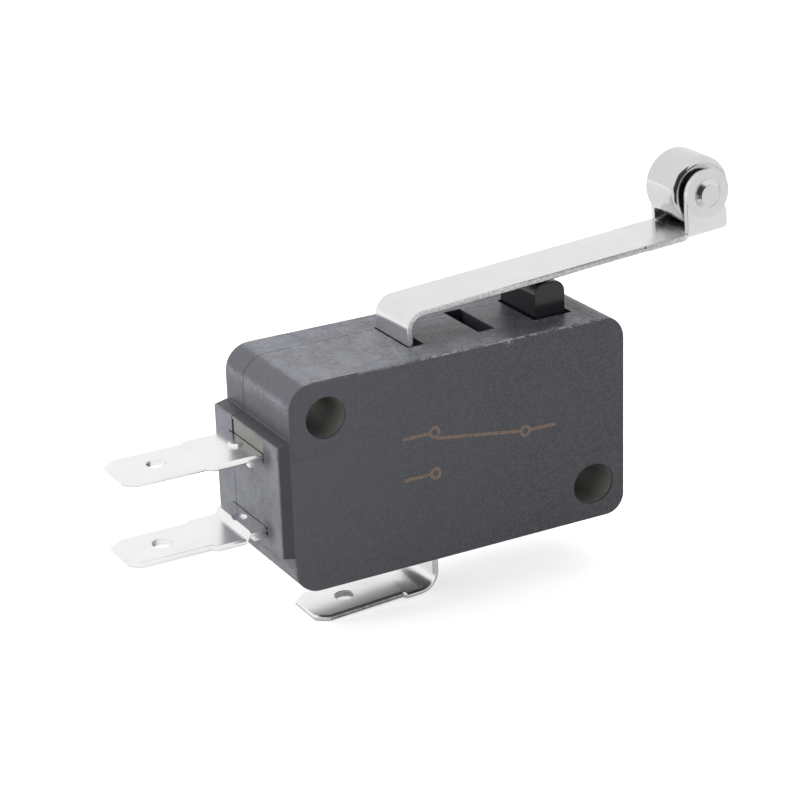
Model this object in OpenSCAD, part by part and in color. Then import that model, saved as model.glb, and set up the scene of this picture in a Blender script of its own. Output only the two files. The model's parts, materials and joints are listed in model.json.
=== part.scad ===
// Lever micro switch: a snap-action changeover switch with a roller lever, three tab
// terminals, a two-piece moulded case and the snap mechanism inside it.
// The origin is on the axis of the round mounting hole, half way through the case.
// +X runs from the contact end to the plunger end, +Y to the back, +Z to the lever.

/* [Case] */
// Length of the case along X
case_l = 27.8; // [26:0.1:32]
// Thickness of the case along Y
case_t = 10.3; // [9.6:0.1:12]
// Height of the case along Z
case_h = 15.9; // [15:0.1:18]
// Depth of the front moulding, from the front face to the parting plane
front_depth = 7.35; // [6.8:0.05:7.8]
// Wall at the top, the bottom and the contact end
wall = 1.3; // [1:0.05:1.6]
// Front and rear plates
plate = 1; // [0.8:0.05:1.3]
// Corner radius of the case outline
corner_r = 1.9; // [0.8:0.1:2.4]
// Smaller radius of the corner under the plunger end
heel_r = 1.5; // [0.8:0.1:2.2]
// Bevel round the front and rear faces
edge_bevel = 0.2; // [0.05:0.05:0.4]
// Length of the end wall that belongs to the rear moulding
end_wall = 2.44; // [2:0.02:3]
// Thickness of the front lip that covers the end wall
lip_t = 0.5; // [0.3:0.05:0.8]
// Radius of the locating peg of the rear moulding
peg_r = 0.85; // [0.6:0.05:1]
// Distance of the locating peg from the contact end
peg_x = 2.42; // [2.2:0.02:3]
// Height of the locating peg above the bottom of the case
peg_z = 1.89; // [1.7:0.02:2.2]

/* [Mounting holes] */
// Diameter of both mounting holes
hole_d = 3.1; // [2.8:0.05:3.3]
// Distance between the holes along X
pitch_x = 22.2; // [21.5:0.1:22.6]
// Distance between the holes along Z
pitch_z = 10.3; // [9.5:0.1:10.6]
// Distance of the round hole from the contact end
hole_inset = 2.9; // [2.6:0.05:3.2]
// Distance of the round hole below the top
hole_drop = 2.8; // [2.6:0.05:3.2]
// Extra length of the lower hole along X
hole_stretch = 0.35; // [0.1:0.05:0.6]
// Side of the recessed pad round each hole, measured from the case corner
pad_size = 5.65; // [5.2:0.05:6]
// Radius of the inner corner of each pad
pad_r = 3.3; // [2:0.1:3.6]
// Depth of the pads below the front face
pad_depth = 0.12; // [0.05:0.01:0.3]

/* [Terminal block] */
// How far the block stands out from the contact end
block_l = 1.05; // [0.6:0.05:1.5]
// Height of the block at its root
block_h = 8.9; // [8.5:0.1:9.5]
// Height of the block's lower edge above the bottom of the case
block_z = 3; // [2.6:0.1:3.3]
// Taper of the block towards its outer face
block_draft = 0.24; // [0.1:0.02:0.4]

/* [Terminals] */
// Width of the tabs
tab_w = 4.75; // [4.4:0.05:4.9]
// Thickness of the terminal strip
tab_t = 0.5; // [0.4:0.05:0.6]
// Length of a tab from the block to its tip
tab_l = 10.3; // [9.5:0.1:11.5]
// Length of the chamfered tip
tip_l = 1; // [0.6:0.1:1.4]
// Width of the flat end of the tip
tip_w = 3; // [2.4:0.1:3.6]
// Coined chamfer round the edges of a tab
coin = 0.13; // [0.05:0.01:0.2]
// Diameter of the hole in a tab
tab_hole_d = 1.4; // [1.1:0.1:1.8]
// Distance of that hole from the tip
tab_hole_x = 3.35; // [3:0.05:4]
// Width of the shoulders next to the case
shoulder_w = 5.55; // [5.2:0.05:5.8]
// Length of the shoulders of the two end terminals
shoulder_l = 4.1; // [3.2:0.1:4.6]
// Width of the terminal strips inside the case
inner_w = 4.4; // [4.2:0.1:4.8]
// Clearance round a terminal in its slot
slot_gap = 0.03; // [0.01:0.01:0.06]
// Height of the normally closed terminal above the bottom of the case
nc_level = 10.18; // [10:0.02:10.4]
// Height of the normally open terminal where it enters the block
no_level = 4.55; // [4.4:0.05:4.8]
// Step down of the normally open tab outside the block
no_step = 0.53; // [0.3:0.05:0.6]
// Distance of that step from the block
no_step_x = 1.3; // [1.2:0.1:1.8]
// Diameter of the round dimples in the end terminals
dimple_d = 1.2; // [0.8:0.1:1.4]
// Height or depth of the dimples
dimple_h = 0.2; // [0.1:0.05:0.3]
// Distance of the dimples from the block
dimple_x = 0.85; // [0.75:0.05:1.1]
// Length of the stop lugs under the end terminals
lug_l = 1.1; // [0.8:0.1:1.2]
// Width of the stop lugs
lug_w = 0.5; // [0.3:0.1:0.8]
// Height of the stop lugs
lug_h = 0.3; // [0.15:0.05:0.4]
// Distance of the common terminal from the contact end
com_x = 12.65; // [12.6:0.05:12.75]
// Depth of the common tab's mid-plane below the case, at its bend
com_drop = 3.55; // [3.2:0.05:4]
// Slope of the common tab
com_slope = 3; // [0:0.5:5]
// Radius of the common terminal's bend at mid-thickness
com_bend_r = 1.35; // [1.2:0.05:1.6]
// Distance of the common tab's tip from the contact end
com_tip_x = 2.9; // [2.5:0.1:3.4]

/* [Contacts] */
// Head radius of the fixed contacts
contact_r = 1.3; // [1:0.05:1.5]
// Height of the contact heads
contact_h = 0.75; // [0.6:0.05:0.8]
// Distance of the contacts from the contact end
contact_x = 5.4; // [5.2:0.1:5.6]
// Open gap between the moving and the lower fixed contact
contact_gap = 1; // [0.9:0.05:1.2]
// Clearance between pieces that touch in use
touch = 0.03; // [0.02:0.01:0.05]

/* [Snap mechanism] */
// Thickness of the contact lever
blade_t = 0.35; // [0.25:0.05:0.4]
// Thickness of the drive lever
drive_t = 0.45; // [0.35:0.05:0.5]
// Width of the gap that the spring lies in
window_w = 2.5; // [2.4:0.1:2.7]
// Distance of the uprights from the contact end
post_x = 17.2; // [17.1:0.05:17.3]
// Height of the drive lever's knife edge above the contact lever's
drive_rise = 0.8; // [0.75:0.05:0.95]
// Height of the drive lever's pad above its knife edge
pad_rise = 1.9; // [1.7:0.1:2]
// Mean radius of the spring coils
spring_r = 0.85; // [0.7:0.05:0.9]
// Diameter of the spring wire
wire_d = 0.3; // [0.2:0.02:0.32]
// Number of turns of the spring
turns = 16; // [10:1:20]

/* [Plunger] */
// Distance of the plunger from the contact end
plunger_x = 23; // [22.9:0.05:23.1]
// Length of the plunger head along X
plunger_l = 2.6; // [2.4:0.1:2.8]
// Width of the plunger along Y
plunger_w = 5; // [4.6:0.1:5.2]
// Radius of the plunger's upper corners
plunger_r = 0.9; // [0.6:0.05:1]
// Clearance round the plunger in its opening
plunger_gap = 0.45; // [0.3:0.05:0.5]
// How far the retaining flange reaches past the opening
flange = 0.4; // [0.2:0.05:0.45]

/* [Lever] */
// Thickness of the lever sheet
lever_t = 0.5; // [0.4:0.05:0.6]
// Width of the lever
lever_w = 4.8; // [4.6:0.05:4.95]
// Distance of the lever's leg from the contact end, at mid-thickness
leg_x = 11.23; // [11.1:0.05:11.4]
// Height of the bend's start above the case
leg_rise = 1.1; // [1:0.05:1.4]
// Radius of the bend at mid-thickness
lever_bend_r = 1.15; // [0.9:0.05:1.3]
// Slope of the arm
arm_slope = 3.5; // [2:0.5:5]
// Length of the arm from the bend to the roller's axis
arm_l = 24.98; // [24:0.1:27]
// Length of the slots in the case top along X
lever_slot_l = 1.4; // [1.3:0.05:1.6]
// Distance between the two lever slots
lever_slot_pitch = 5.9; // [5.6:0.1:6.2]
// Clearance at the sides of the lever in its slot
lever_slot_gap = 0.15; // [0.1:0.05:0.2]
// Length of the hooked foot inside the case
foot_l = 1.5; // [1.3:0.1:1.7]
// Depth of the small notch in the front edge of the arm
nick = 0.18; // [0.1:0.02:0.3]
// Distance of that notch from the bend along the arm
nick_x = 14; // [10:0.5:18]

/* [Roller] */
// Height of the roller's axis above the arm's mid-plane
axis_h = 3.14; // [3:0.05:3.6]
// Radius of the roller
roller_r = 2.6; // [2.3:0.05:2.7]
// Width of the roller
roller_w = 3.5; // [3.2:0.05:3.6]
// Rounding of the roller's rims
rim_r = 0.35; // [0.1:0.05:0.5]
// Length of an ear along the arm, and twice the radius of its top
ear_l = 4; // [3.6:0.1:4.4]
// Inner bend radius at the foot of an ear
ear_bend_r = 0.2; // [0.1:0.05:0.3]
// How much the lever is wider on each side from the clevis root on
ear_step = 0.08; // [0.04:0.02:0.16]
// Length of the wider root before the ears
root_l = 3.6; // [2:0.1:5]
// How much longer the ears are below their rounded tops
heel_l = 0.12; // [0.05:0.01:0.3]
// Height of that shoulder above the arm's mid-plane
heel_h = 1.5; // [1:0.1:2]
// Radius of the roller's pin
pin_r = 0.7; // [0.5:0.05:0.8]
// Radius of the pin's riveted heads
pin_head_r = 0.9; // [0.85:0.05:1.1]
// Height of the pin's riveted heads
pin_head_h = 0.25; // [0.15:0.05:0.4]
// Radial running clearance of the roller on its pin
run_gap = 0.05; // [0.02:0.01:0.08]

/* [Hidden] */
$fn = 48;
bend_steps = 8;
past = 1;                                   // how far a cut runs past what it cuts
thin = 0.01;                                // slice used to blend two outlines

left = -hole_inset;
right = left + case_l;
top = hole_drop;
bottom = top - case_h;
front = -case_t / 2;
rear = case_t / 2;
parting = front + front_depth;
end_x = right - end_wall;
block_x = left - block_l;

nc_z = bottom + nc_level;                   // mid-planes of the terminal strips
no_z = bottom + no_level;
blade_z = nc_z - tab_t / 2 - 2 * contact_h - touch - blade_t / 2;
no_top = blade_z - blade_t / 2 - 2 * contact_h - contact_gap;
no_inner_z = no_top - tab_t / 2;
contact_at = left + contact_x;
inner_end = contact_at + contact_r + 0.5;   // end of the fixed contact strips

post_at = left + post_x;                    // mid-plane of the uprights
notch = tab_t / 2;                          // depth of the knife-edge notches
edge_gap = 0.08;                            // clearance of a knife edge in its notch
blade_edge = post_at - edge_gap;            // knife edge of the contact lever
drive_edge = post_at + edge_gap;            // knife edge of the drive lever
drive_z = blade_z + drive_rise;
pad_top = drive_z + pad_rise;
plate_z = bottom + wall + 1;                // mid-plane of the common terminal's inner plate
fold_r = 0.6;                               // radius of its inner folds at mid-thickness
leg_w = (inner_w - window_w) / 2;           // width of each upright and lever leg
hook_w = 2 * spring_r - 3 * wire_d;         // width of the tongues that hold the spring
hook_reach = wire_d / 2 + 0.08;             // from a tongue's face to the wire's middle
blade_hook = [contact_at + 2.3, blade_z - blade_t / 2 - wire_d / 2 - 0.12];
drive_hook = [drive_edge + 2.6, drive_z - drive_t / 2 - wire_d / 2 - 0.08];

leg_at = left + leg_x;
bend_z = top + leg_rise;                    // height of the lever bend's centre
arm_x = leg_at + lever_bend_r * (1 - sin(arm_slope));
arm_z = bend_z + lever_bend_r * cos(arm_slope);
slot_at = leg_at - lever_t / 2 - 0.08;      // left edge of the lever's slot
foot_z = top - wall - 0.1 - lever_t / 2;    // mid-plane of the hooked foot
foot_r = 0.45;                              // radius of the foot's fold

plunger_at = left + plunger_x;
plunger_corner = plunger_at - plunger_l / 2 + plunger_r;
plunger_top = arm_under(plunger_corner) - (plunger_r + touch) / cos(arm_slope) + plunger_r;
foot_radius = 1;                            // rounding of the plunger's foot
foot_tip = pad_top + 0.05;                  // lowest point of the plunger

// Height of the arm's underside at x
function arm_under(x) = arm_z + (x - arm_x) * tan(arm_slope) - lever_t / 2 / cos(arm_slope);

function along(a) = [cos(a), sin(a)];

// Stations [point, heading] of a bent strip. Each move is [length, turn, radius].
function stations(moves, p, a) = concat([[p, a]], next_stations(moves, p, a, 0));
function next_stations(moves, p, a, i) =
    i == len(moves) ? [] :
    let (m = moves[i], q = p + m[0] * along(a), s = sign(m[1]),
         c = q + s * m[2] * along(a + 90))
    concat(
        m[0] > 0 ? [[q, a]] : [],
        m[1] == 0 ? [] : [for (k = [1:bend_steps])
            let (b = a + m[1] * k / bend_steps) [c - s * m[2] * along(b + 90), b]],
        next_stations(moves, c - s * m[2] * along(a + m[1] + 90), a + m[1], i + 1));

// Outline of a strip of thickness t along its stations
function strip_outline(st, t) = concat(
    [for (s = st) s[0] + t / 2 * along(s[1] + 90)],
    [for (i = [len(st) - 1:-1:0]) st[i][0] - t / 2 * along(st[i][1] + 90)]);

// Stands an outline drawn in X and Z up between two values of Y
module slab(y0, y1) {
    translate([0, y1, 0]) rotate([90, 0, 0]) linear_extrude(y1 - y0) children();
}

// Bent strip, centred on Y = 0
module strip(moves, start, heading, t, w) {
    slab(-w / 2, w / 2) polygon(strip_outline(stations(moves, start, heading), t));
}

module block_between(low, high) {
    translate(low) cube(high - low);
}

// Rectangle with round corners, inset by d from the case outline
module case_outline(d = 0) {
    r = max(corner_r - d, 0.1);
    heel = max(heel_r - d, 0.1);
    x0 = left + d;
    x1 = right - d;
    z0 = bottom + d;
    z1 = top - d;
    widest = max(r, heel);
    translate([x0 + r, z0]) square([x1 - x0 - r - heel, z1 - z0 - r]);
    translate([x0 + r, z0 + widest]) square([x1 - x0 - 2 * r, z1 - z0 - widest]);
    translate([x0, z0 + widest]) square([x1 - x0, z1 - z0 - r - widest]);
    for (x = [x0 + r, x1 - r]) translate([x, z1 - r]) circle(r);
    translate([x0 + r, z0 + r]) circle(r);
    translate([x1 - heel, z0 + heel]) circle(heel);
}

// Square corner pad with its free corner rounded, drawn from its corner outwards
module corner_pad(size) {
    square([size, size - pad_r]);
    square([size - pad_r, size]);
    translate([size - pad_r, size - pad_r]) circle(pad_r);
}

// The two pads in place: below the top left corner and above the bottom right one
module pads(size) {
    translate([left, top]) mirror([0, 1]) corner_pad(size);
    translate([right, bottom]) mirror([1, 0]) corner_pad(size);
}

// Hollow of the case, clear of the pads' bosses and the peg's boss
module cavity_outline() {
    difference() {
        translate([left + wall, bottom + wall])
            square([end_x - left - wall, case_h - 2 * wall]);
        pads(pad_size);
        translate([left + peg_x, bottom + peg_z]) circle(peg_r + 0.7);
    }
}

// Bevelled half of the case between two values of Y; the bevel is at y0 or at y1
module case_half(y0, y1, bevel_y) {
    s = bevel_y == y0 ? 1 : -1;
    hull() {
        slab(min(bevel_y, bevel_y + s * thin), max(bevel_y, bevel_y + s * thin))
            case_outline(edge_bevel);
        slab(s > 0 ? y0 + edge_bevel : y0, s > 0 ? y1 : y1 - edge_bevel) case_outline();
    }
}

// Tapered block at the contact end
module terminal_block(y0, y1) {
    z0 = bottom + block_z;
    z1 = z0 + block_h;
    slab(y0, y1) polygon([[left + wall, z0], [left, z0], [block_x, z0 + block_draft],
        [block_x, z1 - block_draft], [left, z1], [left + wall, z1]]);
}

// Everything that passes through the walls of both mouldings
module case_passages() {
    half = shoulder_w / 2 + slot_gap;
    high = tab_t / 2 + slot_gap;
    // mounting holes
    translate([0, rear + past, 0]) rotate([90, 0, 0])
        cylinder(d = hole_d, h = case_t + 2 * past);
    for (dx = [-1, 1]) translate([pitch_x + dx * hole_stretch / 2, rear + past, -pitch_z])
        rotate([90, 0, 0]) cylinder(d = hole_d, h = case_t + 2 * past);
    translate([pitch_x - hole_stretch / 2, front - past, -pitch_z - hole_d / 2])
        cube([hole_stretch, case_t + 2 * past, hole_d]);
    // slots of the two end terminals
    block_between([block_x - past, -half, nc_z - high], [left + pad_size, half, nc_z + high]);
    block_between([block_x - past, -half, no_z - high],
        [left + wall + past, half, no_z + high]);
    // slot of the common terminal
    block_between([left + com_x - high, -half, bottom - past],
        [left + com_x + high, half, bottom + wall + past]);
    // lever slots, the second one for the lever's other position
    for (i = [0, 1]) translate([i * lever_slot_pitch, 0, 0])
        block_between([slot_at, -lever_w / 2 - lever_slot_gap, top - wall - past],
            [slot_at + lever_slot_l, lever_w / 2 + lever_slot_gap, top + past]);
    // plunger opening
    block_between([plunger_at - plunger_l / 2 - plunger_gap, -plunger_w / 2 - 0.15,
        top - wall - past],
        [plunger_at + plunger_l / 2 + plunger_gap, plunger_w / 2 + 0.15, top + past]);
}

module front_case() color("#4b4e52") {
    difference() {
        union() {
            difference() {
                case_half(front, parting, front);
                slab(front + plate, parting + past) cavity_outline();
                block_between([end_x, front + lip_t, bottom - past],
                    [right + past, parting + past, top + past]);
            }
            terminal_block(front, parting);
            // rib that carries the common terminal's inner plate
            block_between([left + com_x + 1.4, front + plate / 2, bottom + wall / 2],
                [post_at - 1.2, parting - 0.5, plate_z - tab_t / 2 - slot_gap]);
        }
        case_passages();
        slab(front - past, front + pad_depth) pads(pad_size);
        translate([left + peg_x, parting + past, bottom + peg_z]) rotate([90, 0, 0])
            cylinder(r = peg_r + slot_gap, h = case_t + 2 * past);
    }
}

module rear_cover() color("#46494d") {
    difference() {
        union() {
            case_half(parting, rear, rear);
            intersection() {
                slab(front + lip_t, parting + thin) case_outline();
                block_between([end_x, front, bottom - past],
                    [right + past, rear, top + past]);
            }
            terminal_block(parting, rear);
        }
        slab(parting - past, rear - plate) cavity_outline();
        case_passages();
    }
    translate([left + peg_x, parting + thin, bottom + peg_z]) rotate([90, 0, 0])
        cylinder(r = peg_r, h = parting + thin - front);
}

// Outline of a tab from its tip at X = 0, inset by d
function tab_outline(l, d) = [[d, -tip_w / 2], [tip_l, -tab_w / 2 + d], [l, -tab_w / 2 + d],
    [l, tab_w / 2 - d], [tip_l, tab_w / 2 - d], [d, tip_w / 2]];

// Straight tab with coined edges and its hole, along +X from its tip
module tab(l) {
    difference() {
        hull() {
            translate([0, 0, -tab_t / 2]) linear_extrude(tab_t)
                polygon(tab_outline(l, coin));
            translate([0, 0, coin - tab_t / 2]) linear_extrude(tab_t - 2 * coin)
                polygon(tab_outline(l, 0));
        }
        translate([tab_hole_x, 0, -tab_t]) cylinder(d = tab_hole_d, h = 2 * tab_t);
    }
}

// Lugs under both edges of an end terminal, which stop it against the block
module stop_lugs(z) {
    under = z - tab_t / 2;
    for (s = [-1, 1]) translate([0, s * (shoulder_w - lug_w) / 2, 0])
        slab(-lug_w / 2, lug_w / 2) polygon([
            [block_x - lug_l, under + thin], [block_x - lug_l + 0.12, under - lug_h],
            [block_x - 0.15, under - lug_h], [block_x - slot_gap, under - lug_h / 2],
            [block_x - slot_gap, under + thin]]);
}

// Round dimple next to the block, raised above z or, with a bigger mouth, sunk below it
module dimple(z, raised) {
    mouth = dimple_d / 2;
    translate([block_x - dimple_x, 0, z]) if (raised)
        translate([0, 0, -thin]) cylinder(r1 = mouth, r2 = mouth * 0.6, h = dimple_h + thin);
    else
        translate([0, 0, -dimple_h]) cylinder(r1 = mouth * 0.6, r2 = mouth, h = dimple_h + thin);
}

// Shoulders of an end terminal, from the tab to the point at x1
module shoulders(x1, z) {
    x0 = block_x - shoulder_l;
    step = (shoulder_w - tab_w) / 2;
    translate([0, 0, z - tab_t / 2]) linear_extrude(tab_t)
        polygon([[x0, -tab_w / 2], [x0 + step, -shoulder_w / 2], [x1, -shoulder_w / 2],
            [x1, shoulder_w / 2], [x0 + step, shoulder_w / 2], [x0, tab_w / 2]]);
}

module nc_terminal() color("#d9dadb") {
    translate([block_x - tab_l, 0, nc_z]) tab(tab_l - shoulder_l + thin);
    difference() {
        union() {
            shoulders(left + wall, nc_z);
            block_between([left + wall - thin, -inner_w / 2, nc_z - tab_t / 2],
                [inner_end, inner_w / 2, nc_z + tab_t / 2]);
        }
        translate([contact_at, 0, nc_z - tab_t]) cylinder(r = contact_r / 2, h = 2 * tab_t);
    }
    stop_lugs(nc_z);
    dimple(nc_z + tab_t / 2, true);
}

module no_terminal() color("#d9dadb") {
    outer_z = no_z - no_step;
    step_at = block_x - no_step_x;
    ramp = 60;
    rise = no_inner_z - no_z;
    translate([block_x - tab_l, 0, outer_z]) tab(tab_l - shoulder_l + thin);
    shoulders(step_at - no_step / tan(ramp) + thin, outer_z);
    difference() {
        slab(-shoulder_w / 2, shoulder_w / 2)
            polygon(strip_outline([[[step_at - no_step / tan(ramp), outer_z], 0],
                [[step_at, no_z], 0], [[left + wall, no_z], 0]], tab_t));
        dimple(no_z + tab_t / 2, false);
    }
    difference() {
        slab(-inner_w / 2, inner_w / 2)
            polygon(strip_outline([[[left + wall - thin, no_z], 0],
                [[left + wall + 0.4, no_z], 0],
                [[left + wall + 0.4 + abs(rise), no_inner_z], 0],
                [[inner_end, no_inner_z], 0]], tab_t));
        translate([contact_at, 0, no_inner_z - tab_t])
            cylinder(r = contact_r / 2, h = 2 * tab_t);
    }
    stop_lugs(no_z);
}

module com_terminal() color("#d9dadb") {
    at = left + com_x;
    turn = 90 - com_slope;
    // where the tab meets the bend
    start_x = at - com_bend_r * (1 - sin(com_slope));
    start_z = bottom - com_drop;
    tab_len = (start_x - left - com_tip_x) / cos(com_slope);
    tip = [start_x - tab_len * cos(com_slope), start_z - tab_len * sin(com_slope)];
    shoulder_at = tab_len - 1.2;
    bend_top = start_z + com_bend_r * cos(com_slope);
    translate([tip[0], 0, tip[1]]) rotate([0, -com_slope, 0]) tab(shoulder_at + thin);
    // shoulder, bend, leg and the fold inside the case
    strip([[tab_len - shoulder_at, turn, com_bend_r],
           [plate_z - fold_r - bend_top, -90, fold_r], [0.5, 0, 0]],
        [tip[0] + shoulder_at * cos(com_slope), tip[1] + shoulder_at * sin(com_slope)],
        com_slope, tab_t, shoulder_w);
    // inner plate and the two uprights with their knife-edge notches
    difference() {
        strip([[post_at - at - 2 * fold_r, 90, fold_r],
               [drive_z + 0.9 - plate_z - fold_r, 0, 0]],
            [at + fold_r, plate_z], 0, tab_t, inner_w);
        block_between([post_at - fold_r - tab_t, -window_w / 2, plate_z + 1.5],
            [post_at + tab_t, window_w / 2, drive_z + 2]);
        slab(-inner_w, inner_w) polygon([[post_at - tab_t, blade_z - 0.7],
            [post_at, blade_z], [post_at - tab_t, blade_z + 0.7]]);
        slab(-inner_w, inner_w) polygon([[post_at + tab_t, drive_z - 0.7],
            [post_at, drive_z], [post_at + tab_t, drive_z + 0.7]]);
    }
}

// Contact rivet, face at z = face, through a strip whose near side is at z = near
module rivet(r, face, near, far) {
    s = sign(face - near);
    edge = 0.15;
    translate([contact_at, 0, 0]) rotate_extrude() polygon([
        [0, face], [r * 0.7, face - s * 0.02], [r - edge, face - s * 0.08],
        [r, face - s * (0.08 + edge)], [r, near], [r / 2 - 0.01, near],
        [r / 2 - 0.01, far], [r * 0.7, far], [r * 0.6, far - s * 0.2], [0, far - s * 0.2]]);
}

module nc_contact() color("#c9b98f")
    rivet(contact_r, nc_z - tab_t / 2 - contact_h, nc_z - tab_t / 2, nc_z + tab_t / 2);

module no_contact() color("#c9b98f")
    rivet(contact_r, no_top + contact_h, no_top, no_top - tab_t);

// Double-headed rivet: upper and lower heads of equal height through the lever
module moving_contact() color("#c9b98f") {
    r = contact_r - 0.15;
    face = blade_t / 2 + contact_h;
    edge = 0.15;
    translate([contact_at, 0, blade_z]) rotate_extrude() polygon([
        [0, -face], [r * 0.7, 0.02 - face], [r - edge, 0.08 - face], [r, 0.23 - face],
        [r, -blade_t / 2], [contact_r / 2 - 0.01, -blade_t / 2],
        [contact_r / 2 - 0.01, blade_t / 2], [r, blade_t / 2], [r, face - 0.23],
        [r - edge, face - 0.08], [r * 0.7, face - 0.02], [0, face]]);
}

// Pointed end of a lever leg, its knife edge at X = 0 and its body towards -X
module knife_leg(l, t, y0) {
    slab(y0, y0 + leg_w) polygon([[-l, -t / 2], [-0.4, -t / 2], [0, 0], [-0.4, t / 2],
        [-l, t / 2]]);
}

module contact_lever() color("#b98a4a") {
    x0 = contact_at - contact_r - 0.2;
    x1 = blade_hook[0] - spring_r - wire_d;
    difference() {
        block_between([x0, -inner_w / 2, blade_z - blade_t / 2],
            [x1, inner_w / 2, blade_z + blade_t / 2]);
        translate([contact_at, 0, blade_z - blade_t])
            cylinder(r = contact_r / 2, h = 2 * blade_t);
    }
    for (y0 = [-inner_w / 2, inner_w / 2 - leg_w])
        translate([blade_edge, 0, blade_z]) knife_leg(blade_edge - x1 + thin, blade_t, y0);
    // tongue that the spring hooks round
    block_between([x1 - thin, -hook_w / 2, blade_z - blade_t / 2],
        [blade_hook[0], hook_w / 2, blade_z + blade_t / 2]);
    block_between([blade_hook[0] - blade_t, -hook_w / 2, blade_hook[1] - 0.5],
        [blade_hook[0], hook_w / 2, blade_z]);
}

module drive_lever() color("#cfd1d2") {
    x1 = drive_hook[0] - drive_t;
    pad_mid = pad_top - drive_t / 2;
    climb = pad_mid - drive_z;
    pad_x0 = plunger_at - 1.2;
    for (y0 = [-inner_w / 2, inner_w / 2 - leg_w])
        translate([drive_edge, 0, drive_z]) mirror([1, 0, 0])
            knife_leg(x1 - drive_edge + thin, drive_t, y0);
    slab(-inner_w / 2, inner_w / 2)
        polygon(strip_outline([[[x1, drive_z], 0],
            [[drive_hook[0] + 0.2, drive_z], 0],
            [[pad_x0, pad_mid], atan2(climb, pad_x0 - drive_hook[0] - 0.2) / 2],
            [[pad_x0 + 0.2, pad_mid], 0],
            [[plunger_at + 1.3, pad_mid], 0]], drive_t));
    // tongue that the spring hooks round
    block_between([x1, -hook_w / 2, drive_hook[1] - 0.5],
        [drive_hook[0], hook_w / 2, drive_z]);
}

// Points of the spring: a loop round each tongue and the coils between them
spring_len = norm(drive_hook - blade_hook);
coil_x0 = spring_r + 0.5;
coil_x1 = spring_len - spring_r - 0.5;
function loop_points(x, half, a0) = [for (k = [0:8]) let (a = a0 - 180 * k / 8)
    [x + (half + hook_reach) * cos(a), spring_r * sin(a), 0]];
function spring_points() = concat(
    loop_points(-blade_t / 2, blade_t / 2, 270),
    [for (k = [0:turns * 12]) let (a = 360 * k / 12 + 90)
        [coil_x0 + (coil_x1 - coil_x0) * k / (turns * 12),
         spring_r * sin(a), spring_r * cos(a)]],
    loop_points(spring_len - drive_t / 2, drive_t / 2, 90));

module swept_wire(pts, d) {
    sides = 6;
    n = len(pts);
    rings = [for (i = [0:n - 1])
        let (t = pts[min(i + 1, n - 1)] - pts[max(i - 1, 0)], u = t / norm(t),
             ref = abs(u[2]) < 0.9 ? [0, 0, 1] : [0, 1, 0],
             v = cross(u, ref) / norm(cross(u, ref)), w = cross(u, v))
        for (k = [0:sides - 1])
            pts[i] + d / 2 * (cos(360 * k / sides) * v + sin(360 * k / sides) * w)];
    walls = [for (i = [0:n - 2], k = [0:sides - 1])
        [i * sides + k, i * sides + (k + 1) % sides,
         (i + 1) * sides + (k + 1) % sides, (i + 1) * sides + k]];
    ends = [[for (k = [sides - 1:-1:0]) k], [for (k = [0:sides - 1]) (n - 1) * sides + k]];
    polyhedron(rings, concat(walls, ends), convexity = 10);
}

module tension_spring() color("#9a9c9f") {
    d = drive_hook - blade_hook;
    translate([blade_hook[0], 0, blade_hook[1]]) rotate([0, -atan2(d[1], d[0]), 0])
        swept_wire(spring_points(), wire_d);
}

module plunger() color("#17181a") {
    x0 = plunger_at - plunger_l / 2;
    x1 = plunger_at + plunger_l / 2;
    flange_top = top - wall - 0.06;
    reach = plunger_gap + flange;
    // head with round upper corners, stem and rounded foot
    slab(-plunger_w / 2, plunger_w / 2) union() {
        translate([x0, flange_top - 1])
            square([plunger_l, plunger_top - plunger_r - flange_top + 1]);
        translate([x0 + plunger_r, flange_top])
            square([plunger_l - 2 * plunger_r, plunger_top - flange_top]);
        for (x = [x0 + plunger_r, x1 - plunger_r])
            translate([x, plunger_top - plunger_r]) circle(plunger_r);
        translate([plunger_at - foot_radius, foot_tip + foot_radius])
            square([2 * foot_radius, flange_top - foot_tip - foot_radius]);
        translate([plunger_at, foot_tip + foot_radius]) circle(foot_radius);
    }
    // flange that keeps the plunger in the case
    block_between([x0 - reach, -plunger_w / 2, flange_top - 1],
        [x1 + reach - 0.1, plunger_w / 2, flange_top]);
}

// Draws in the arm's own frame: X along the arm from the bend, Z away from the case
module on_arm() {
    translate([arm_x, 0, arm_z]) rotate([0, -arm_slope, 0]) children();
}

module actuator_lever() color("#c3c5c7") {
    half = lever_w / 2 + ear_step;
    side = lever_t / 2 + ear_bend_r;
    ear_x = arm_l - ear_l / 2;
    // foot, leg, bend and arm
    difference() {
        strip([[foot_l - foot_r, -90, foot_r],
               [bend_z - foot_z - foot_r, arm_slope - 90, lever_bend_r],
               [ear_x + thin, 0, 0]],
            [leg_at + foot_l, foot_z], 180, lever_t, lever_w);
        on_arm() translate([nick_x, -lever_w / 2 - nick, -lever_t])
            cube([0.5, 2 * nick, 2 * lever_t]);
    }
    on_arm() block_between([ear_x - root_l, -half, -lever_t / 2], [ear_x + thin, half, lever_t / 2]);
    // channel with two ears, rounded about the pin
    on_arm() difference() {
        intersection() {
            translate([ear_x, 0, 0]) rotate([90, 0, 90]) linear_extrude(ear_l + heel_l)
                polygon(strip_outline(stations([
                    [axis_h + ear_l / 2 - side, 90, side],
                    [2 * half - 2 * side - lever_t, 90, side],
                    [axis_h + ear_l / 2 - side, 0, 0]],
                    [lever_t / 2 - half, axis_h + ear_l / 2], -90), lever_t));
            slab(-lever_w, lever_w) union() {
                translate([arm_l, axis_h]) circle(ear_l / 2);
                translate([ear_x, -lever_t]) square([ear_l, axis_h + lever_t]);
                translate([ear_x, -lever_t]) square([ear_l + heel_l, heel_h + lever_t]);
            }
        }
        translate([arm_l, lever_w, axis_h]) rotate([90, 0, 0])
            cylinder(r = pin_r + 0.01, h = 2 * lever_w);
    }
}

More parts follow.
